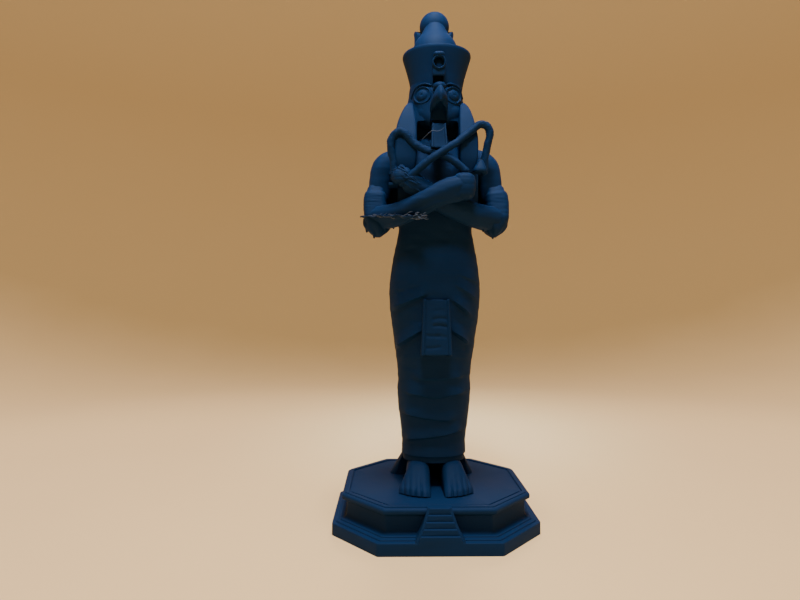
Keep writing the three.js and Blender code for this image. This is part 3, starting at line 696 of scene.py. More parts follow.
FOOT = [
    [0, 5.8, 3.2, 6], [0.16, 5.9, 3.8, 8.4], [0.5, 6.1, 3.9, 9.2], [0.6, 6.2, 4, 8.5], [0.7, 6.6, 4.3, 6.7],
    [0.82, 7.1, 4.7, 4.5], [0.92, 7.4, 5, 3], [1, 7.5, 4.9, 2.1],
]
FOOT_BACK = 5
FOOT_POWERS = (0.8, 0.32)
TOE_TIPS = [[1.6, -19.4], [3.6, -20.6], [5.9, -20.3], [7.9, -19.6], [9.8, -18.4], [11.2, -16.9],
            [12.4, -15.6]]
TOE_GAPS = [5, 7, 8.9, 10.7]
TOE_GAP_WIDTH = 0.32
TOE_GAP_NOTCH = 0.55
TOE_GAP_DEPTH = 0.4
# The right foot is drawn in by a share of its way to the outer side
RIGHT_FOOT_SHARE = 0.05
RIGHT_FOOT_SIDE = 12.2
SOLE = -0.25


def foot_form(side, steps=54, around=66):
    """Foot on a flat sole: each row is an arch of sine and cosine powers, and runs from the heel towards
    a slanting line of toe tips, where it is rounded down. Bell curves sink the gaps between the toes."""
    share = np.linspace(0, 1, steps)
    middle, half, height = along(FOOT, share).T[..., None]
    share = share[:, None]
    turn = np.linspace(0, np.pi, around)[None]
    x = middle - half * bent(np.cos(turn), FOOT_POWERS[0])
    x = x - (RIGHT_FOOT_SHARE * (RIGHT_FOOT_SIDE - x) if side < 0 else 0)
    clefts = sum(np.exp(-((x - gap) / TOE_GAP_WIDTH) ** 2) for gap in TOE_GAPS)
    tips = np.interp(x, *zip(*TOE_TIPS)) + TOE_GAP_NOTCH * clefts * smooth(share, 0.9, 1)
    depth = FOOT_BACK + (tips - FOOT_BACK) * share
    ending = np.sqrt(1 - 0.92 * smooth(share, 0.93, 1.01) ** 2)
    z = height * np.sin(turn) ** FOOT_POWERS[1] * ending
    z = z - TOE_GAP_DEPTH * clefts * smooth(share, 0.62, 0.96) * smooth(z, 0.2, 1.4)
    arch = np.stack([side * x, depth, z], -1)
    ends = arch[:, [-1, 0]]
    ends[..., 2] = SOLE
    return skin(np.concatenate([arch, ends], 1))


def heel_flare():
    """Squarish ovals that narrow, deepen and come forward as they rise."""
    rows = [[-0.25, 15.6, 5.8, 11], [1.2, 14.9, 5.8, 10.6], [5, 13, 6.3, 8.6], [9.5, 11, 7.6, 4.4],
            [12.5, 10.2, 7.8, 1.8]]
    return level_body(rows, 88, 22, squareness=2.6)


def heel_opening():
    """What is cut from the flare in front of the heels; its back leans forward as it rises."""
    backs = {-11: 7.9, -1: 7.9, 5: 5.5, 9.5: 2, 12.6: -1}
    return slab(list(backs), 20, [(-22, back) for back in backs.values()])


# Arms, hands and crooks

SLEEVE_TOP = 102.8


def squarish(power, undercut=0):
    """Section outline of cosine and sine powers: round at 1, squarer below it, narrower underneath."""
    return lambda turn: (bent(np.cos(turn), power) * (1 - undercut * smooth(-np.sin(turn), 0, 0.7)),
                         bent(np.sin(turn), power))


LAYER_SQUEEZE = np.array([0.22, 0.22, 1.5])
LAYER_LENGTH = 1.7
# Fold pattern: how long it is along a limb, how wide round it, and the length of its ripples
FOLD_ALONG, FOLD_ROUND, FOLD_LENGTH = 7, 4, 2.6


def layered(seed, depth):
    """Relief of uneven printed layers: ripples that are long and level."""
    return lambda turn, share, points: depth * ripple(points * LAYER_SQUEEZE, LAYER_LENGTH, seed)


def streaked(seed, depth):
    """Relief of folds that run along a limb: ripples of the turn that change slowly along its path, over
    the printed layers at half the depth."""
    def relief(turn, share, points):
        place = np.stack(np.broadcast_arrays(
            FOLD_ALONG * share, FOLD_ROUND * np.cos(turn), FOLD_ROUND * np.sin(turn)), -1)
        folds = depth * ripple(place, FOLD_LENGTH, seed)
        return folds + layered(seed, 0.5 * depth)(turn, share, points)
    return relief


def arm_forms():
    """Limbs for shoulders, sleeves and forearms, and level ovals that taper to each elbow's point."""
    forms = {}
    for side, name in SIDES:
        spread = 0.5 if side > 0 else 0
        forms[f"shoulder_{name}"] = limb(
            [[side * 13.5, 1.2, 113.4], [side * 17.4, 0.8, 111.8], [side * 19.2, 0, 107.5],
             [side * 20, -0.4, 101]],
            [[0, 5.2, 5.2], [0.45, 4.8, 4.8], [0.7, 3.8, 4.2], [1, 3.1, 3.8]], 48, 32,
            layered(3 + side, 0.06), squarish(0.85))
        forms[f"sleeve_{name}"] = limb(
            [[side * 21.2, -1, SLEEVE_TOP - 0.4], [side * (21.4 + spread / 2), -1.6, 98],
             [side * (20.9 + spread), -2.8, 93]],
            [[0, 3.2, 3.5], [0.14, 3.9, 4.3], [0.6, 4.1, 4.6], [1, 4.2, 4.6]], 52, 42,
            layered(7 + side, 0.06), squarish(0.55))
        forms[f"elbow_{name}"] = level_body(
            [[93, 5.2, 4.8, -3.2], [90.4, 4.7, 4.4, -3.4], [88.2, 3.1, 3.2, -3.7],
             [87, 1.5, 1.8, -3.9], [86.4, 0.5, 0.6, -3.9]], 48, 20, side * 20.3,
            relief=lambda angle, level: 0.22 * np.sin(5 * angle + level) + 0.14 * np.sin(9 * angle + 2))
    forms["forearm_front"] = limb(
        [[-20.8, -3.4, 93], [-12.6, -10.6, 93.8], [-6, -15.1, 96.2], [0.5, -16.6, 99.4],
         [8.4, -15.6, 102]],
        [[0, 4.2, 4.2], [0.3, 4, 3.9], [0.6, 3.8, 3.7], [0.72, 3.7, 3.8], [0.86, 4, 4.3],
         [1, 3.8, 4.2]], 64, 84, streaked(21, 0.16), squarish(0.85, 0.3))
    forms["forearm_rear"] = limb(
        [[20.8, -3.4, 92.6], [13, -8.6, 93.6], [4, -11.4, 96.6], [-4, -12.7, 100.8],
         [-9, -13.6, 103.8]],
        [[0, 4.3, 4.4], [0.3, 4, 4.1], [0.8, 3.4, 3.5], [1, 3.2, 3.6]], 52, 60,
        streaked(22, 0.14), squarish(0.85, 0.2))
    return forms


ARM_GAP_OUTER = 18.8


def arm_gap(side):
    """Deep gap between the chest and the arm beside it."""
    inner = 13.4 if side < 0 else 14.5
    return slab([97.4, 98.4, 107.6, 108.6], (ARM_GAP_OUTER - inner) / 2,
                [(-20, 1), (-20, 2.5), (-20, 2.5), (-20, 1)], side * (ARM_GAP_OUTER + inner) / 2)


FINGER_GROOVE = 0.06
STRING_RADIUS = 0.19


def fist(rows, x, base, pitch):
    """Squarish fist, whose fingers are parted by shallow grooves of powers of a cosine of the level."""
    grooves = lambda angle, level: -FINGER_GROOVE * np.cos((level - base) * np.pi / pitch) ** 12
    return level_body(rows, 48, 36, x, 2.6, grooves)


def thumb(x, y, level, tall):
    """Block that lies up a shaft and narrows over most of its height."""
    top = level + tall
    return block([[level, 2.4, y - 2.6, y + 3, x], [level + 1, 2.3, y - 2.5, y + 3, x],
                  [top - 0.7, 1.1, y - 1.2, y + 2, x + 0.3], [top, 0.8, y - 0.9, y + 1, x + 0.3]],
                 36, 16, 2.8, 0.3)


def hand_forms():
    """Fists closed round the crooks' shafts, with a thumb up each shaft, and clinging strings."""
    strings = {f"string_{i}": bar(path, STRING_RADIUS, 8, 8) for i, path in enumerate(hand_strings())}
    return {
        "left_fist": fist([[97.8, 2, 2.6, -15.6], [99, 3.3, 3.7, -15.6], [102, 3.8, 4.1, -15.6],
                           [105.2, 3.5, 3.8, -15.3], [106.4, 2.4, 2.8, -15]], 8.5, 98, 2.15),
        "right_fist": fist([[103.4, 2.2, 2.6, -13], [104.3, 3.2, 3.3, -13], [107, 3.3, 3.3, -12.8],
                            [108.8, 2.2, 2.4, -12.4]], -12, 103.4, 1.8),
        "left_thumb": thumb(14, -12.8, 107.4, 4.3),
        "right_thumb": thumb(-12.6, -12.6, 107.4, 2.6),
        "right_ledge": slab([103.2, 104.1], 1.7, (-12.9, -6), -14.9),
        **strings,
    }


CROOK_LEFT = [
    [15.7, -11.6, 108], [15.8, -12, 112], [16.6, -12.5, 116.5], [17.3, -12.9, 120.5],
    [16.6, -13, 122.7], [14.8, -13, 123.6], [12.9, -13.1, 122.9], [11.2, -13.3, 121.3],
    [8.1, -13.9, 118.9], [5.6, -14.5, 116.8], [2.6, -15.3, 114.8], [-0.4, -16, 112.8],
    [-3.5, -16.2, 110.6], [-6.6, -15.8, 108], [-12, -14.4, 103.4],
]
CROOK_RIGHT = [
    [-14.7, -12, 105.6], [-14.7, -12, 108], [-14.9, -12, 111], [-16, -12.4, 116],
    [-15.4, -12.6, 119.4], [-13.1, -12.8, 121.2], [-11.4, -13, 120.6], [-9.3, -13.1, 118.3],
    [-6.6, -13.3, 116], [-3.4, -13.7, 114.4], [0.2, -14.1, 113.2], [4.3, -14.8, 111.4],
    [9, -15.2, 107.5],
]


def crook_forms():
    """Round bars along smooth paths, with the unevenness of a bar that was printed slanting."""
    radius = sizes("figure_sizes").crook_radius / MM

    def uneven(seed):
        return lambda turn, share, points: (0.13 * ripple(points, 2.6, seed)
                                            + 0.05 * np.sin(points[..., 2] * TURN / 0.8))

    return {"crook_left": bar(CROOK_LEFT, radius, 18, 140, uneven(5)),
            "crook_right": bar(CROOK_RIGHT, radius, 18, 125, uneven(6))}


# Head, wig, beard and crown

WIG = [
    [142, 8.4, 8.6, 0.6], [139.7, 9.2, 9.6, 0.8], [136.5, 9.6, 10, 1], [134, 10.2, 10.3, 1.2],
    [130.4, 11.7, 10.9, 1.6], [126.5, 13.3, 11.3, 2], [121.5, 14.9, 11.6, 2.7], [116, 15.6, 11, 3.5],
    [110, 15.4, 9, 4.6], [106, 13, 6.4, 5.4],
]


def wig_bell():
    """Bell of ovals with shallow ribs that run down its back, fading towards the front."""
    ribs = lambda angle, level: (0.1 * np.cos(26 * angle) * smooth(-np.cos(angle), 0.1, 0.6)
                                 * smooth(level, 107, 111) * (1 - smooth(level, 139, 142)))
    return level_body(WIG, 130, 52, -0.2, 2.2, ribs)


def wig_opening():
    """What is cut from the wig below the face, where the beard hangs."""
    return slab([102, 114, 125.4, 126], [7.2, 7.2, 7.1, 6.8], (-22.5, -2.5), 0.1)


def lappet(side):
    """Block of few wide rows: level, half-width, front, back and middle. Each side has its own foot,
    narrowing and shift inward."""
    foot, narrow, shift = (1.2, 0.7, 0.2) if side > 0 else (2.3, 0.1, -0.3)
    rows = [
        (107.4, foot, -12.4, -8, 10.8), (110, 3.3 - narrow, -13, -7, 10.5),
        (113, 3.8 - narrow, -13.3, -6.6, 10.6), (119, 3.9 - narrow, -12.7, -5, 10.6),
        (124, 3.5 - narrow, -11, -3, 10.3), (128, 2.6 - narrow / 2, -9.4, -2, 9.9),
        (131, 1.6, -7.8, -1, 9.5), (133, 0.8, -6, 0, 9),
    ]
    return block([(*row[:4], side * (row[4] - shift)) for row in rows], 44, 40, 9, 0.3)


BEARD_FOOT, BEARD_TOP, BEARD_MIDDLE = 115.2, 123.9, 0.2


def beard_forms():
    """Tapering board with a raised border along each side."""
    def board(half, front, half_top, front_top, side, *grid):
        return block([[BEARD_FOOT, half, front, -11.4, BEARD_MIDDLE + side * 2.4],
                      [BEARD_TOP, half_top, front_top, -9.6, BEARD_MIDDLE + side * 2]], *grid)

    return {"beard": board(2.5, -15.6, 2.1, -13, 0, 40, 20, 14, 0.2),
            **{f"beard_border_{name}": board(0.42, -16.1, 0.36, -13.4, side, 16, 18, 6, 0.16)
               for side, name in SIDES}}


EYE_X, EYE_Y, EYE_LEVEL, EYE_TURN = 5.5, -8.9, 134.6, 0.5
EYE_WIDTH = 1.1
EYE_BEND = 0.3

# Radius and depth of an eye from its buried edge over the ring, the valley, the ball and the pupil
EYE_PROFILE = [
    [3.1, 1.6], [3.1, 0.15], [3.04, -0.16], [2.9, -0.3], [2.74, -0.3], [2.58, -0.14], [2.44, 0.06],
    [2.1, 0.1], [1.9, 0.02], [1.78, -0.16], [1.55, -0.36], [1.2, -0.5], [0.8, -0.58], [0.55, -0.6],
    [0.42, -0.5], [0.05, -0.46],
]


def eye_form(side, around=56):
    """Eye as a profile turned about its own axis, an oval that narrows to the outer corner and bends back
    with the head by the square of its width."""
    radius, depth = np.array(EYE_PROFILE).T[:, :, None]
    turn = turns(around)[None]
    x = side * radius * np.sin(turn) * EYE_WIDTH
    z = radius * np.cos(turn) * (0.96 - 0.06 * np.sin(turn))
    y = depth + EYE_BEND * (x / 2.9) ** 2
    turned = side * EYE_TURN
    return skin(np.stack([side * EYE_X + x * np.cos(turned) - y * np.sin(turned),
                          EYE_Y + x * np.sin(turned) + y * np.cos(turned), EYE_LEVEL + z], -1))


def wedge(turn):
    """Section of the beak: narrow along its upper ridge and wide and flatter below."""
    rise = np.sin(turn)
    return np.cos(turn) * (1 - 0.42 * rise), np.where(rise > 0, rise, 0.95 * rise)


def head_forms():
    """Skull and neck of level ovals, beak and brows of limbs, balls for cere and cheeks, and the eyes."""
    forms = {
        "skull": level_body([[124.2, 2.6, 2.6, -6.6], [125.4, 5, 4.8, -5], [127.2, 7, 6.9, -3.3],
                             [129.5, 8.3, 8.2, -2], [133, 9.1, 9.1, -1], [136.5, 9.1, 9.2, -0.6],
                             [138.4, 8.7, 8.5, -0.4], [140.2, 7.8, 7.6, 0], [142, 7, 6.8, 0.4]],
                            76, 38, squareness=2.5),
        "neck": level_body([[104, 6, 4.4, 2.6], [128, 5, 4.8, 1.6]], 40, 12),
        "beak": limb([[0.2, -6.6, 130.6], [0.3, -10.6, 131.9], [0.4, -14.6, 132.7],
                      [0.45, -17.2, 131.9], [0.45, -18.3, 130.4]],
                     [[0, 2.9, 6], [0.3, 2.7, 4.9], [0.6, 2, 2.9], [0.84, 1.1, 1.4], [1, 0.4, 0.45]],
                     44, 44, shape=wedge),
        "cere": ball([0.4, -11.1, 136.9], [2.3, 2.2, 1.6]),
    }
    for side, name in SIDES:
        forms[f"cheek_{name}"] = ball([side * 4 + 0.3, -4.7, 129.3], [4.3, 4.7, 4.9], 40, 24)
        forms[f"eye_{name}"] = eye_form(side)
        forms[f"brow_{name}"] = limb(
            [[side * 2, -9.3, 137.8], [side * 4.6, -8.9, 138.5], [side * 7.3, -7.1, 137.7],
             [side * 8.9, -4.4, 134.9]], [[0, 0.5, 0.35], [0.5, 0.6, 0.38], [1, 0.4, 0.3]], 18, 28)
    return forms


def beak_hollow():
    """Deep hollow under the beak that widens from behind its tip towards the throat."""
    return limb([[0.42, -15.9, 130], [0.35, -12.8, 128.8], [0.25, -9.8, 127], [0.2, -8.6, 123.4]],
                [[0, 0.4, 0.7], [0.3, 2.1, 2.2], [0.7, 2.8, 2.8], [1, 2.9, 2.8]], 32, 28)


CROWN_BACK = -0.1
CROWN_RIM = 12.15
CROWN_SHIFT = -0.35
SPIRE_TURN = np.radians(36.2)
SPIRE_FOOT = 148.4
SPIRE_HEIGHT = 15.9
SPIRE_HALF = 0.9
SPIRE_LEAN = 0.6


def cup(around=96):
    """Surface of revolution about an upright axis, from its sunk foot over the rim to the inner floor."""
    profile = np.array(rounded_profile([
        [0.01, 137.3], [8.9, 137.3], [9.4, 140.4], [9.8, 142.4], [10.5, 145], [11.35, 147.8],
        [CROWN_RIM, 150.4], [CROWN_RIM - 0.15, 151.4], [CROWN_RIM - 1.5, 151.4],
        [CROWN_RIM - 1.9, 149.9], [0.01, 149.7],
    ], 0.5, 6))
    angle = turns(around)[None]
    radius, level = profile[:, :1], profile[:, 1:]
    return skin(np.stack([0.1 + radius * np.sin(angle), CROWN_BACK - radius * np.cos(angle),
                          level + 0 * angle], -1))


def spire(rows=26, around=40):
    """Curved wall at the cup's back: a ring's sector, there along its outer face and back along its inner
    one, whose top edge thins by a smooth step and leans back a little."""
    rise = np.linspace(0, 1, rows)[:, None]
    half = SPIRE_HALF * (1 - 0.75 * smooth(rise, 0.94, 1))
    middle = CROWN_RIM - SPIRE_HALF + SPIRE_LEAN * smooth(rise, 0.82, 1)
    turn = np.linspace(-SPIRE_TURN, SPIRE_TURN, around)
    turn = np.concatenate([turn, turn[::-1]])[None]
    radius = middle + half * np.repeat([1, -1], around)
    level = SPIRE_FOOT + SPIRE_HEIGHT * rise
    centre = [CROWN_SHIFT, CROWN_BACK + CROWN_RIM - SPIRE_HALF]
    sections = np.stack([CROWN_SHIFT + np.sin(turn) * radius, CROWN_BACK + np.cos(turn) * radius,
                         np.broadcast_to(level, radius.shape)], -1)
    return skin(sections, [[*centre, SPIRE_FOOT], [*centre, SPIRE_FOOT + SPIRE_HEIGHT]])


def crown_forms():
    """Cup and spire, the white crown of level ovals that lean back, and its bulb, a ball."""
    white = [[148, 8.3, 8.3, 1.2], [153, 8.1, 8.1, 1.4], [156.5, 7.3, 7.3, 2], [160, 5.2, 5.4, 3.2],
             [162.5, 4, 4.2, 4.2], [165, 3.3, 3.6, 5.4], [167, 2.4, 2.4, 6]]
    return {"cup": cup(), "spire": spire(),
            "white_crown": level_body(white, 56, 34, CROWN_SHIFT),
            "bulb": ball([CROWN_SHIFT, 6.6, 164.6], [5.4, 5.3, 5.4], 44, 26)}


COBRA_X = 0.1
HOOD_LEVEL = 144.5
HOOD_RADIUS = 2.05
HOOD_RING = (0.34, 0.9)


def hood_ring(steps=44, around=12):
    """Raised ring of the cobra's hood: a small oval carried round an upright circle."""
    turn, small = turns(steps)[:, None], turns(around)[None]
    wide = HOOD_RADIUS + HOOD_RING[0] * np.cos(small)
    depth = -12.6 + HOOD_RING[1] * np.sin(small) + 0 * turn
    return torus(np.stack([COBRA_X + wide * np.sin(turn), depth, HOOD_LEVEL + wide * np.cos(turn)], -1))


def cobra_forms():
    """Rearing cobra: a broad neck, a spread hood hollow inside its raised ring, and a small flat head."""
    def upright(foot, rows, *grid):
        return block([[foot + rise, *row, COBRA_X] for rise, *row in rows], *grid)

    return {
        "cobra_neck": upright(HOOD_LEVEL - 4.2, [[0, 2, -12.5, -11.4], [1.1, 2.2, -12.7, -11.2],
                                                 [2.7, 2, -12.9, -10.2]], 28, 10, 4, 0.25),
        "cobra_hood": ball([COBRA_X, -10.8, HOOD_LEVEL], [2.2, 1, 2.2], 36, 24),
        "cobra_ring": hood_ring(),
        "cobra_head": upright(HOOD_LEVEL + 2.1, [[0, 1.8, -13.6, -10], [0.8, 1.9, -13.8, -10.2],
                                                 [1.5, 1.6, -13.4, -10.6]], 28, 8, 3.4, 0.25),
    }


def cobra_shade():
    """Hollow of the forehead under the cobra's neck."""
    return slab([HOOD_LEVEL - 7.1, HOOD_LEVEL - 2.2], [1.7, 1.9], (-14, -6.4), COBRA_X)


# Loose plastic: torn support below the right elbow, drips below both, and threads

SCAR_START = -26.6
SCAR_RUN = 21.2
# Share of the way, front, back, level and half-thickness of the torn lip
SCAR_LIP = [
    [0, -4.6, -2.4, 93.5, 0.16], [0.08, -7.2, -1.4, 93.4, 0.34], [0.3, -11, -2.5, 93, 0.42],
    [0.55, -15.1, -6, 92.6, 0.42], [0.85, -19.2, -12, 91.9, 0.34], [1, -20.1, -15, 91.8, 0.2],
]


def scar_lip(steps=90, around=16):
    """Thin wavy flap: a flat oval section carried from the elbow's side to the middle of the forearm."""
    share = np.linspace(0, 1, steps)
    front, back, level, thick = along(SCAR_LIP, share).T[..., None]
    share = share[:, None]
    wave = 0.22 * np.sin(share * 23) + 0.14 * np.sin(share * 41 + 1)
    turn = turns(around)[None]
    y = (front + back) / 2 + (back - front) / 2 * np.cos(turn)
    z = level + wave + thick * np.sin(turn)
    return skin(np.stack([np.broadcast_to(SCAR_START + SCAR_RUN * share, y.shape), y, z], -1))


# Start, end and their radii
DRIPS = [
    [[-21.6, -3.8, 87.8], [-21.6, -3.9, 86.3], 0.7, 0.3],
    [[-24, -2.8, 89.8], [-24.2, -2.8, 88.6], 0.9, 0.4],
    [[-17.6, -6, 89.2], [-17.4, -6.1, 88.2], 0.8, 0.35],
    [[-15, -7.6, 90], [-14.8, -7.8, 89.2], 0.8, 0.3],
    [[19.9, -4, 87.6], [20, -4.1, 86.2], 0.8, 0.35],
    [[23.2, -3, 89.4], [23.4, -3, 88.4], 0.9, 0.4],
    [[16.4, -6.6, 89.4], [16.2, -6.8, 88.4], 0.9, 0.35],
    [[13.4, -8.2, 90.2], [13.2, -8.3, 89.4], 0.7, 0.3],
]


def drip_forms():
    """Short limbs that taper from one radius to another."""
    return {f"drip_{i}": limb([start, end], [[0, wide, wide], [1, tip, tip]], 16, 8)
            for i, (start, end, wide, tip) in enumerate(DRIPS)}


THREADS = [
    [[-5.6, -15.4, 117.8], [-3.6, -15.8, 119.6], [-2.3, -16.4, 120.5], [-0.6, -16.2, 120.4],
     [0.8, -15.9, 120.9], [1.9, -15.6, 121.9]],
]


# Depth of the forearm's underside and of the right hand's back at places from right to left
UNDERSIDE = ([-25, -18, -9, -4], [-7, -12.3, -18.6, -20.4])
HAND_BACK = ([-16, -14.5, -12, -9, -4], [-13.6, -14.9, -16.2, -16.7, -16])


def scar_strands(count=46, seed=4):
    """Ragged strands of torn support: short bent paths with seeded starts along the forearm's underside."""
    draw = np.random.default_rng(seed)
    paths = []
    for _ in range(count):
        share = 1 - draw.uniform(0, 1) ** 2
        x = -24 + 19 * share
        y = np.interp(x, *UNDERSIDE) - draw.uniform(0, 0.4)
        z = 93.4 - 1.5 * share + draw.uniform(-1.6, 0.9) * (0.2 + 0.8 * share)
        run = draw.uniform(0.6, 1.9)
        rise = draw.uniform(-0.7, 0.7)
        bow = draw.uniform(-0.3, 0.3, 2)
        paths.append([[x, y, z], [x + run / 2, y - 0.35 * run / 2 + bow[0], z + rise / 2 + bow[1]],
                      [x + run, y - 0.5 * run, z + rise]])
    return paths


def hand_strings(count=20, seed=8):
    """Strings half sunk in the right fist and forearm, which run along it with a slight bow and follow
    its roundness by a circle."""
    draw = np.random.default_rng(seed)
    paths = []
    for _ in range(count):
        x, off = draw.uniform(-15.2, -7.5), draw.uniform(-2.4, 2.9)
        places = x + draw.uniform(1.4, 4.2) * np.array([0, 0.35, 0.7, 1])
        sag = 3.4 - 3.4 * np.sqrt(1 - (off / 3.9) ** 2)
        y = np.interp(places, *HAND_BACK) + sag
        z = 103.8 - 0.58 * (places + 9) + off + draw.uniform(-0.35, 0.35, 4)
        paths.append(np.column_stack([places, y - [0, 0.2, 0.15, -0.1], z]))
    return paths


# Materials

def feed(socket, value):
    """Gives a socket a constant, or a link where the value is a wire."""
    if isinstance(value, Wire):
        value.tree.links.new(value.socket, socket)
    else:
        socket.default_value = value


def arithmetic(operation, swapped=False):
    """Python operator that adds a Math node; a reflected form has its two sides swapped."""
    def operator(self, other):
        return self.combined(operation, *((other, self) if swapped else (self, other)))
    return operator


class Wire:
    """A value that runs between a material's nodes and can be written as arithmetic."""

    def __init__(self, tree, socket):
        self.tree, self.socket = tree, socket

    def combined(self, operation, *sides):
        node = self.tree.nodes.new("ShaderNodeMath")
        node.operation = operation
        for socket, side in zip(node.inputs, sides):
            feed(socket, side)
        return Wire(self.tree, node.outputs[0])

    __add__, __radd__ = arithmetic("ADD"), arithmetic("ADD", swapped=True)
    __sub__, __rsub__ = arithmetic("SUBTRACT"), arithmetic("SUBTRACT", swapped=True)
    __mul__, __rmul__ = arithmetic("MULTIPLY"), arithmetic("MULTIPLY", swapped=True)


class Finish:
    """A material under construction, whose shader's own sockets take the constants and links."""

    def __init__(self, name):
        self.material = bpy.data.materials.new(name)
        self.material.use_nodes = True
        self.tree = self.material.node_tree
        self.shader = next(node for node in self.tree.nodes if node.type == "BSDF_PRINCIPLED")

    def node(self, kind, settings=None, values=None, output=0):
        node = self.tree.nodes.new(kind)
        for key, value in (settings or {}).items():
            setattr(node, key, value)
        for key, value in (values or {}).items():
            feed(node.inputs[key], value)
        return Wire(self.tree, node.outputs[output])

    def place(self, scale):
        here = self.node("ShaderNodeTexCoord", output="Object")
        return self.node("ShaderNodeMapping", values={"Vector": here, "Scale": scale})

    def noise(self, size, detail, roughness=0.5, scale=(1, 1, 1)):
        return self.node("ShaderNodeTexNoise", values={
            "Vector": self.place(scale), "Scale": 1 / size, "Detail": detail, "Roughness": roughness})

    def bump(self, strength, distance, height):
        return self.node("ShaderNodeBump", values={
            "Strength": strength, "Distance": distance, "Height": height})

    def mix(self, share, first, second):
        return self.node("ShaderNodeMix", {"data_type": "RGBA"},
                         {0: share, 6: (*first, 1), 7: (*second, 1)}, 2)

    def shade(self, sockets):
        for key, value in sockets.items():
            feed(self.shader.inputs[key], value)
        return self.material


BAND_LAYERS = 5
BAND_STRETCH = (0.02, 0.02, 1)
LAYER_STRETCH = (0.06, 0.06, 1)
CLOUD_SIZE = 9 * MM
BAND_TINT, CLOUD_TINT, TINT_SHIFT = 0.7, 0.6, 0.15
BAND_GLOSS, CLOUD_GLOSS = 0.14, 0.1


def blue_plastic():
    """Matt dark blue print: level bands of slightly different blue and gloss one to a few layers high, and
    a bump of uneven layer edges."""
    look = sizes("plastic_look")
    finish = Finish("printed_blue_plastic")
    bands = finish.noise(BAND_LAYERS * look.layer, 4, 0.7, BAND_STRETCH)
    layers = finish.noise(look.layer, 1, scale=LAYER_STRETCH)
    cloud = finish.noise(CLOUD_SIZE, 3)
    share = bands * BAND_TINT + cloud * CLOUD_TINT - TINT_SHIFT
    return finish.shade({
        "Base Color": finish.mix(share, look.deep, look.colour),
        "Roughness": look.roughness + (bands - 0.5) * BAND_GLOSS + (cloud - 0.5) * CLOUD_GLOSS,
        "Normal": finish.bump(0.5, 0.03 * MM, layers * 0.6 + bands * 0.4),
        "Specular IOR Level": look.sheen})


def torn_plastic():
    """Stress-whitened blue of threads and torn support, patchy along each strand."""
    look = sizes("plastic_look")
    finish = Finish("torn_blue_plastic")
    patches = finish.noise(0.9 * MM, 3, 0.6)
    return finish.shade({
        "Base Color": finish.mix(patches, look.colour, look.torn),
        "Roughness": 0.38 + patches * 0.2,
        "Normal": finish.bump(0.4, 0.05 * MM, patches)})


# How far from the middle the floor's colour starts and ends to change into the wall's painted shade, with
# its width counted half
WALL_SHADE_FADE = (0.15, 0.52)


def shaded_floor_paper():
    """Pale matt paper with a faint fleck, warmer and darker where it rises, which is painted shade of the
    rising wall.
    """
    look = sizes("stage_look")
    finish = Finish("pale_floor")
    fleck = finish.noise(60 * MM, 2)
    away = finish.node("ShaderNodeVectorMath", {"operation": "LENGTH"},
                       {0: finish.place((0.5, 1, 1))}, "Value")
    far = finish.node("ShaderNodeMapRange", {"interpolation_type": "SMOOTHSTEP"}, {
        "Value": away, "From Min": WALL_SHADE_FADE[0], "From Max": WALL_SHADE_FADE[1]})
    return finish.shade({
        # The mix towards the wall colour by distance from the middle is painted shade on the rising wall.
        "Base Color": finish.mix(far + fleck * 0.06, look.floor, look.wall),
        "Roughness": 0.85 + fleck * 0.05})


# Operators

class Undoable:
    bl_options = {"REGISTER", "UNDO"}


class FIGURINE_OT_plinth(Undoable, bpy.types.Operator):
    """Octagonal plinth with beads, a recess, a cornice and a stair"""
    bl_idname = "figurine.plinth"
    bl_label = "Plinth and stair"

    def execute(self, context):
        form("plinth", plinth_body(), placed=False)
        for i, step in enumerate(stair_blocks()):
            form(f"stair_{i}", step, placed=False)
        return {"FINISHED"}


class FIGURINE_OT_body(Undoable, bpy.types.Operator):
    """Wrapped body with its bandages and the hanging end of the sash"""
    bl_idname = "figurine.body"
    bl_label = "Wrapped body"

    def execute(self, context):
        body = form("wrapped_body", wrapped_body())
        carved(body, **{f"arm_gap_{name}": arm_gap(side) for side, name in SIDES})
        form("sash_end", sash_end())
        return {"FINISHED"}


class FIGURINE_OT_feet(Undoable, bpy.types.Operator):
    """Bare feet with toes, and the flare of the wrapping behind the heels"""
    bl_idname = "figurine.feet"
    bl_label = "Feet"

    def execute(self, context):
        keep({f"foot_{name}": foot_form(side) for side, name in SIDES})
        carved(form("heel_flare", heel_flare()), heel_opening=heel_opening())
        return {"FINISHED"}


class FIGURINE_OT_arms(Undoable, bpy.types.Operator):
    """Shoulders, sleeves, crossed forearms, fists and the two crooks"""
    bl_idname = "figurine.arms"
    bl_label = "Arms and crooks"

    def execute(self, context):
        keep({**arm_forms(), **hand_forms(), **crook_forms()})
        return {"FINISHED"}


class FIGURINE_OT_head(Undoable, bpy.types.Operator):
    """Falcon's head, wig with lappets, and beard"""
    bl_idname = "figurine.head"
    bl_label = "Head and wig"

    def execute(self, context):
        keep({**head_forms(), **beard_forms()})
        skull = bpy.data.objects["skull"]
        fused(skull, [bpy.data.objects[name] for name in ("beak", "cheek_right", "cheek_left")])
        carved(skull, cobra_shade=cobra_shade(), beak_hollow=beak_hollow())
        carved(form("wig", wig_bell()), wig_opening=wig_opening(), cobra_shade=cobra_shade())
        keep({f"lappet_{name}": lappet(side) for side, name in SIDES})
        return {"FINISHED"}


class FIGURINE_OT_crown(Undoable, bpy.types.Operator):
    """Double crown with its spire, bulb and rearing cobra"""
    bl_idname = "figurine.crown"
    bl_label = "Crown and cobra"

    def execute(self, context):
        keep({**crown_forms(), **cobra_forms()})
        carved(bpy.data.objects["cup"], cobra_shade=cobra_shade())
        return {"FINISHED"}


class FIGURINE_OT_drips(Undoable, bpy.types.Operator):
    """Lip of torn support and drips of plastic below the elbows"""
    bl_idname = "figurine.drips"
    bl_label = "Support marks"

    def execute(self, context):
        keep({"scar_lip": scar_lip(), **drip_forms()})
        return {"FINISHED"}


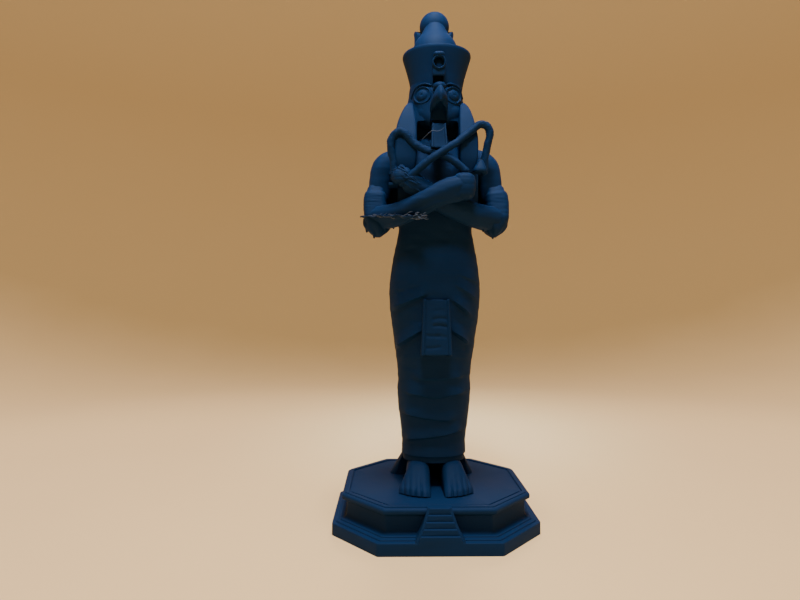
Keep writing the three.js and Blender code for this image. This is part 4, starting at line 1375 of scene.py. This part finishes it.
def finished(name, base, others, material):
    """Fuses waiting forms into one piece, scales it to metres, shades it with sharp creases and puts it
    on the frame."""
    waiting().objects.unlink(base)
    bpy.context.scene.collection.objects.link(base)
    fused(base, others)
    base.name = name
    mesh = base.data
    points = np.empty(len(mesh.vertices) * 3, np.float32)
    mesh.vertices.foreach_get("co", points)
    mesh.vertices.foreach_set("co", points * MM)
    mesh.update()
    mesh.shade_smooth()
    mesh.set_sharp_from_angle(angle=sizes("figure_sizes").crease_angle)
    mesh.materials.clear()
    mesh.materials.append(material)
    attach(base, "root")
    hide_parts("figurine")


class FIGURINE_OT_fuse(Undoable, bpy.types.Operator):
    """Fuses all forms into the one printed shell"""
    bl_idname = "figurine.fuse"
    bl_label = "Fuse the print"

    def execute(self, context):
        base = waiting().objects["wrapped_body"]
        others = [piece for piece in waiting().objects if piece != base]
        finished("figurine_print", base, others, blue_plastic())
        return {"FINISHED"}


class FIGURINE_OT_threads(Undoable, bpy.types.Operator):
    """Loose threads and torn strands of plastic"""
    bl_idname = "figurine.threads"
    bl_label = "Loose threads"

    def execute(self, context):
        radius = sizes("figure_sizes").thread_radius / MM
        rows = [[share, radius * part, radius * part] for share, part in ((0, 0.7), (0.5, 1), (1, 0.5))]
        threads = [form(f"thread_{i}", limb(path, rows, 8, 16))
                   for i, path in enumerate(THREADS + scar_strands())]
        finished("loose_threads", threads[0], threads[1:], torn_plastic())
        return {"FINISHED"}


CAMERA_PLACE = (-14.7 * MM, -221.1 * MM, 77.4 * MM)
CAMERA_YAW = np.radians(0.74)
CAMERA_LENS = 27.9
CAMERA_SENSOR = 36
CAMERA_NEAR = 0.01
FLOOR_RINGS = (0.02, 0.1, 0.2)
FLOOR_FLAT = 0.34
FLOOR_BEND = 0.34
FLOOR_WALL = 0.62

# Place, the point it faces, side, colour and spread in degrees of each light, whose power is in StageLook
LIGHTS = {
    "overhead": ((0, -0.16, 1.15), (0, 0, 0.08), 0.35, (1, 0.97, 0.93), 180),
    "front": ((-0.02, -0.15, 0.38), (0, -0.01, 0.205), 0.1, (0.62, 0.86, 1), 25),
    "fill": ((0, -0.3, 0.2), (0, -0.02, 0), 0.06, (0.7, 0.88, 1), 30),
    "back": ((0.04, 0.3, 0.36), (0, 0, 0.08), 0.1, (1, 0.88, 0.72), 40),
}


def area_light(name, power, place, towards, side, colour, spread):
    """Square light, turned by the slope and the bearing of the way from its place to a point."""
    data = bpy.data.lights.new(name, "AREA")
    data.shape = "RECTANGLE"
    data.size = data.size_y = side
    data.energy = power
    data.spread = np.radians(spread)
    data.color = colour
    light = bpy.data.objects.new(name, data)
    bpy.context.scene.collection.objects.link(light)
    light.location = place
    x, y, z = np.array(towards) - np.array(place)
    light.rotation_euler = (np.arctan2(np.hypot(x, y), -z), 0, np.arctan2(-x, y))
    light.visible_camera = False


def floor_surface(around=96, steps=24):
    """Rings round the middle, level at first, that bend up by a quarter circle into an upright wall."""
    bend = np.linspace(0, QUARTER, steps)
    end = FLOOR_FLAT + FLOOR_BEND
    radius = np.concatenate([FLOOR_RINGS, FLOOR_FLAT + FLOOR_BEND * np.sin(bend), [end]])[:, None]
    height = np.concatenate([np.zeros(len(FLOOR_RINGS)), FLOOR_BEND * (1 - np.cos(bend)), [FLOOR_WALL]])
    angle, start = turns(around), np.arange(around)
    rings = np.stack([radius * np.cos(angle), radius * np.sin(angle),
                      np.repeat(height[:, None], around, axis=1)], -1)
    hub = np.full(around, len(rings) * around)
    cap = np.stack([hub, start, np.roll(start, -1)], -1)
    points = np.concatenate([rings.reshape(-1, 3), [[0, 0, 0]]])
    return points.tolist(), gaps(len(rings), around)[:, ::-1].tolist() + cap.tolist()


class FIGURINE_OT_stage(Undoable, bpy.types.Operator):
    """Pale floor that bends up into a wall all round, soft lights and the camera"""
    bl_idname = "figurine.stage"
    bl_label = "Stage"

    def execute(self, context):
        scene, look = context.scene, sizes("stage_look")
        points, faces = floor_surface()
        mesh = bpy.data.meshes.new("floor")
        mesh.from_pydata(points, [], faces)
        mesh.shade_smooth()
        mesh.materials.append(shaded_floor_paper())
        floor = bpy.data.objects.new("floor", mesh)
        scene.collection.objects.link(floor)
        for name, light in LIGHTS.items():
            area_light(name, getattr(look, name), *light)
        world = bpy.data.worlds.new("room")
        world.use_nodes = True
        background = world.node_tree.nodes["Background"]
        background.inputs["Color"].default_value = (*look.sky, 1)
        background.inputs["Strength"].default_value = look.ambient
        scene.world = world
        data = bpy.data.cameras.new("camera")
        data.lens = CAMERA_LENS
        data.sensor_width = CAMERA_SENSOR
        data.clip_start = CAMERA_NEAR
        camera = bpy.data.objects.new("camera", data)
        camera.location = CAMERA_PLACE
        camera.rotation_euler = (QUARTER, 0, -CAMERA_YAW)
        scene.collection.objects.link(camera)
        scene.camera = camera
        return {"FINISHED"}


class FIGURINE_PT_panel(bpy.types.Panel):
    """Sizes, colours and steps of the figurine"""
    bl_idname = "FIGURINE_PT_panel"
    bl_label = "Figurine"
    bl_space_type = "VIEW_3D"
    bl_region_type = "UI"
    bl_category = "Figurine"

    def draw(self, context):
        for name in GROUPS:
            box = self.layout.box()
            group = getattr(context.scene, name)
            for key in group.bl_rna.properties.keys():
                if key not in ("rna_type", "name"):
                    box.prop(group, key)
        for kind in STEPS:
            self.layout.operator(kind.bl_idname)


GROUPS = {"plinth_sizes": PlinthSizes, "figure_sizes": FigureSizes, "plastic_look": PlasticLook,
          "stage_look": StageLook}
STEPS = [FIGURINE_OT_plinth, FIGURINE_OT_body, FIGURINE_OT_feet, FIGURINE_OT_arms, FIGURINE_OT_head,
         FIGURINE_OT_crown, FIGURINE_OT_drips, FIGURINE_OT_fuse, FIGURINE_OT_threads, FIGURINE_OT_stage]


def register():
    """Registers the classes and hangs each group of properties on the scene."""
    for kind in [*GROUPS.values(), *STEPS, FIGURINE_PT_panel]:
        bpy.utils.register_class(kind)
    for name, kind in GROUPS.items():
        setattr(bpy.types.Scene, name, PointerProperty(type=kind))


def unregister():
    """Takes the groups off the scene and unregisters the classes from the last to the first."""
    for name in GROUPS:
        delattr(bpy.types.Scene, name)
    for kind in reversed([*GROUPS.values(), *STEPS, FIGURINE_PT_panel]):
        bpy.utils.unregister_class(kind)


def main():
    register()
    for kind in STEPS:
        group, name = kind.bl_idname.split(".")
        getattr(getattr(bpy.ops, group), name)()
    bpy.data.collections.remove(bpy.data.collections[FORMS])


if __name__ == "__main__":
    main()
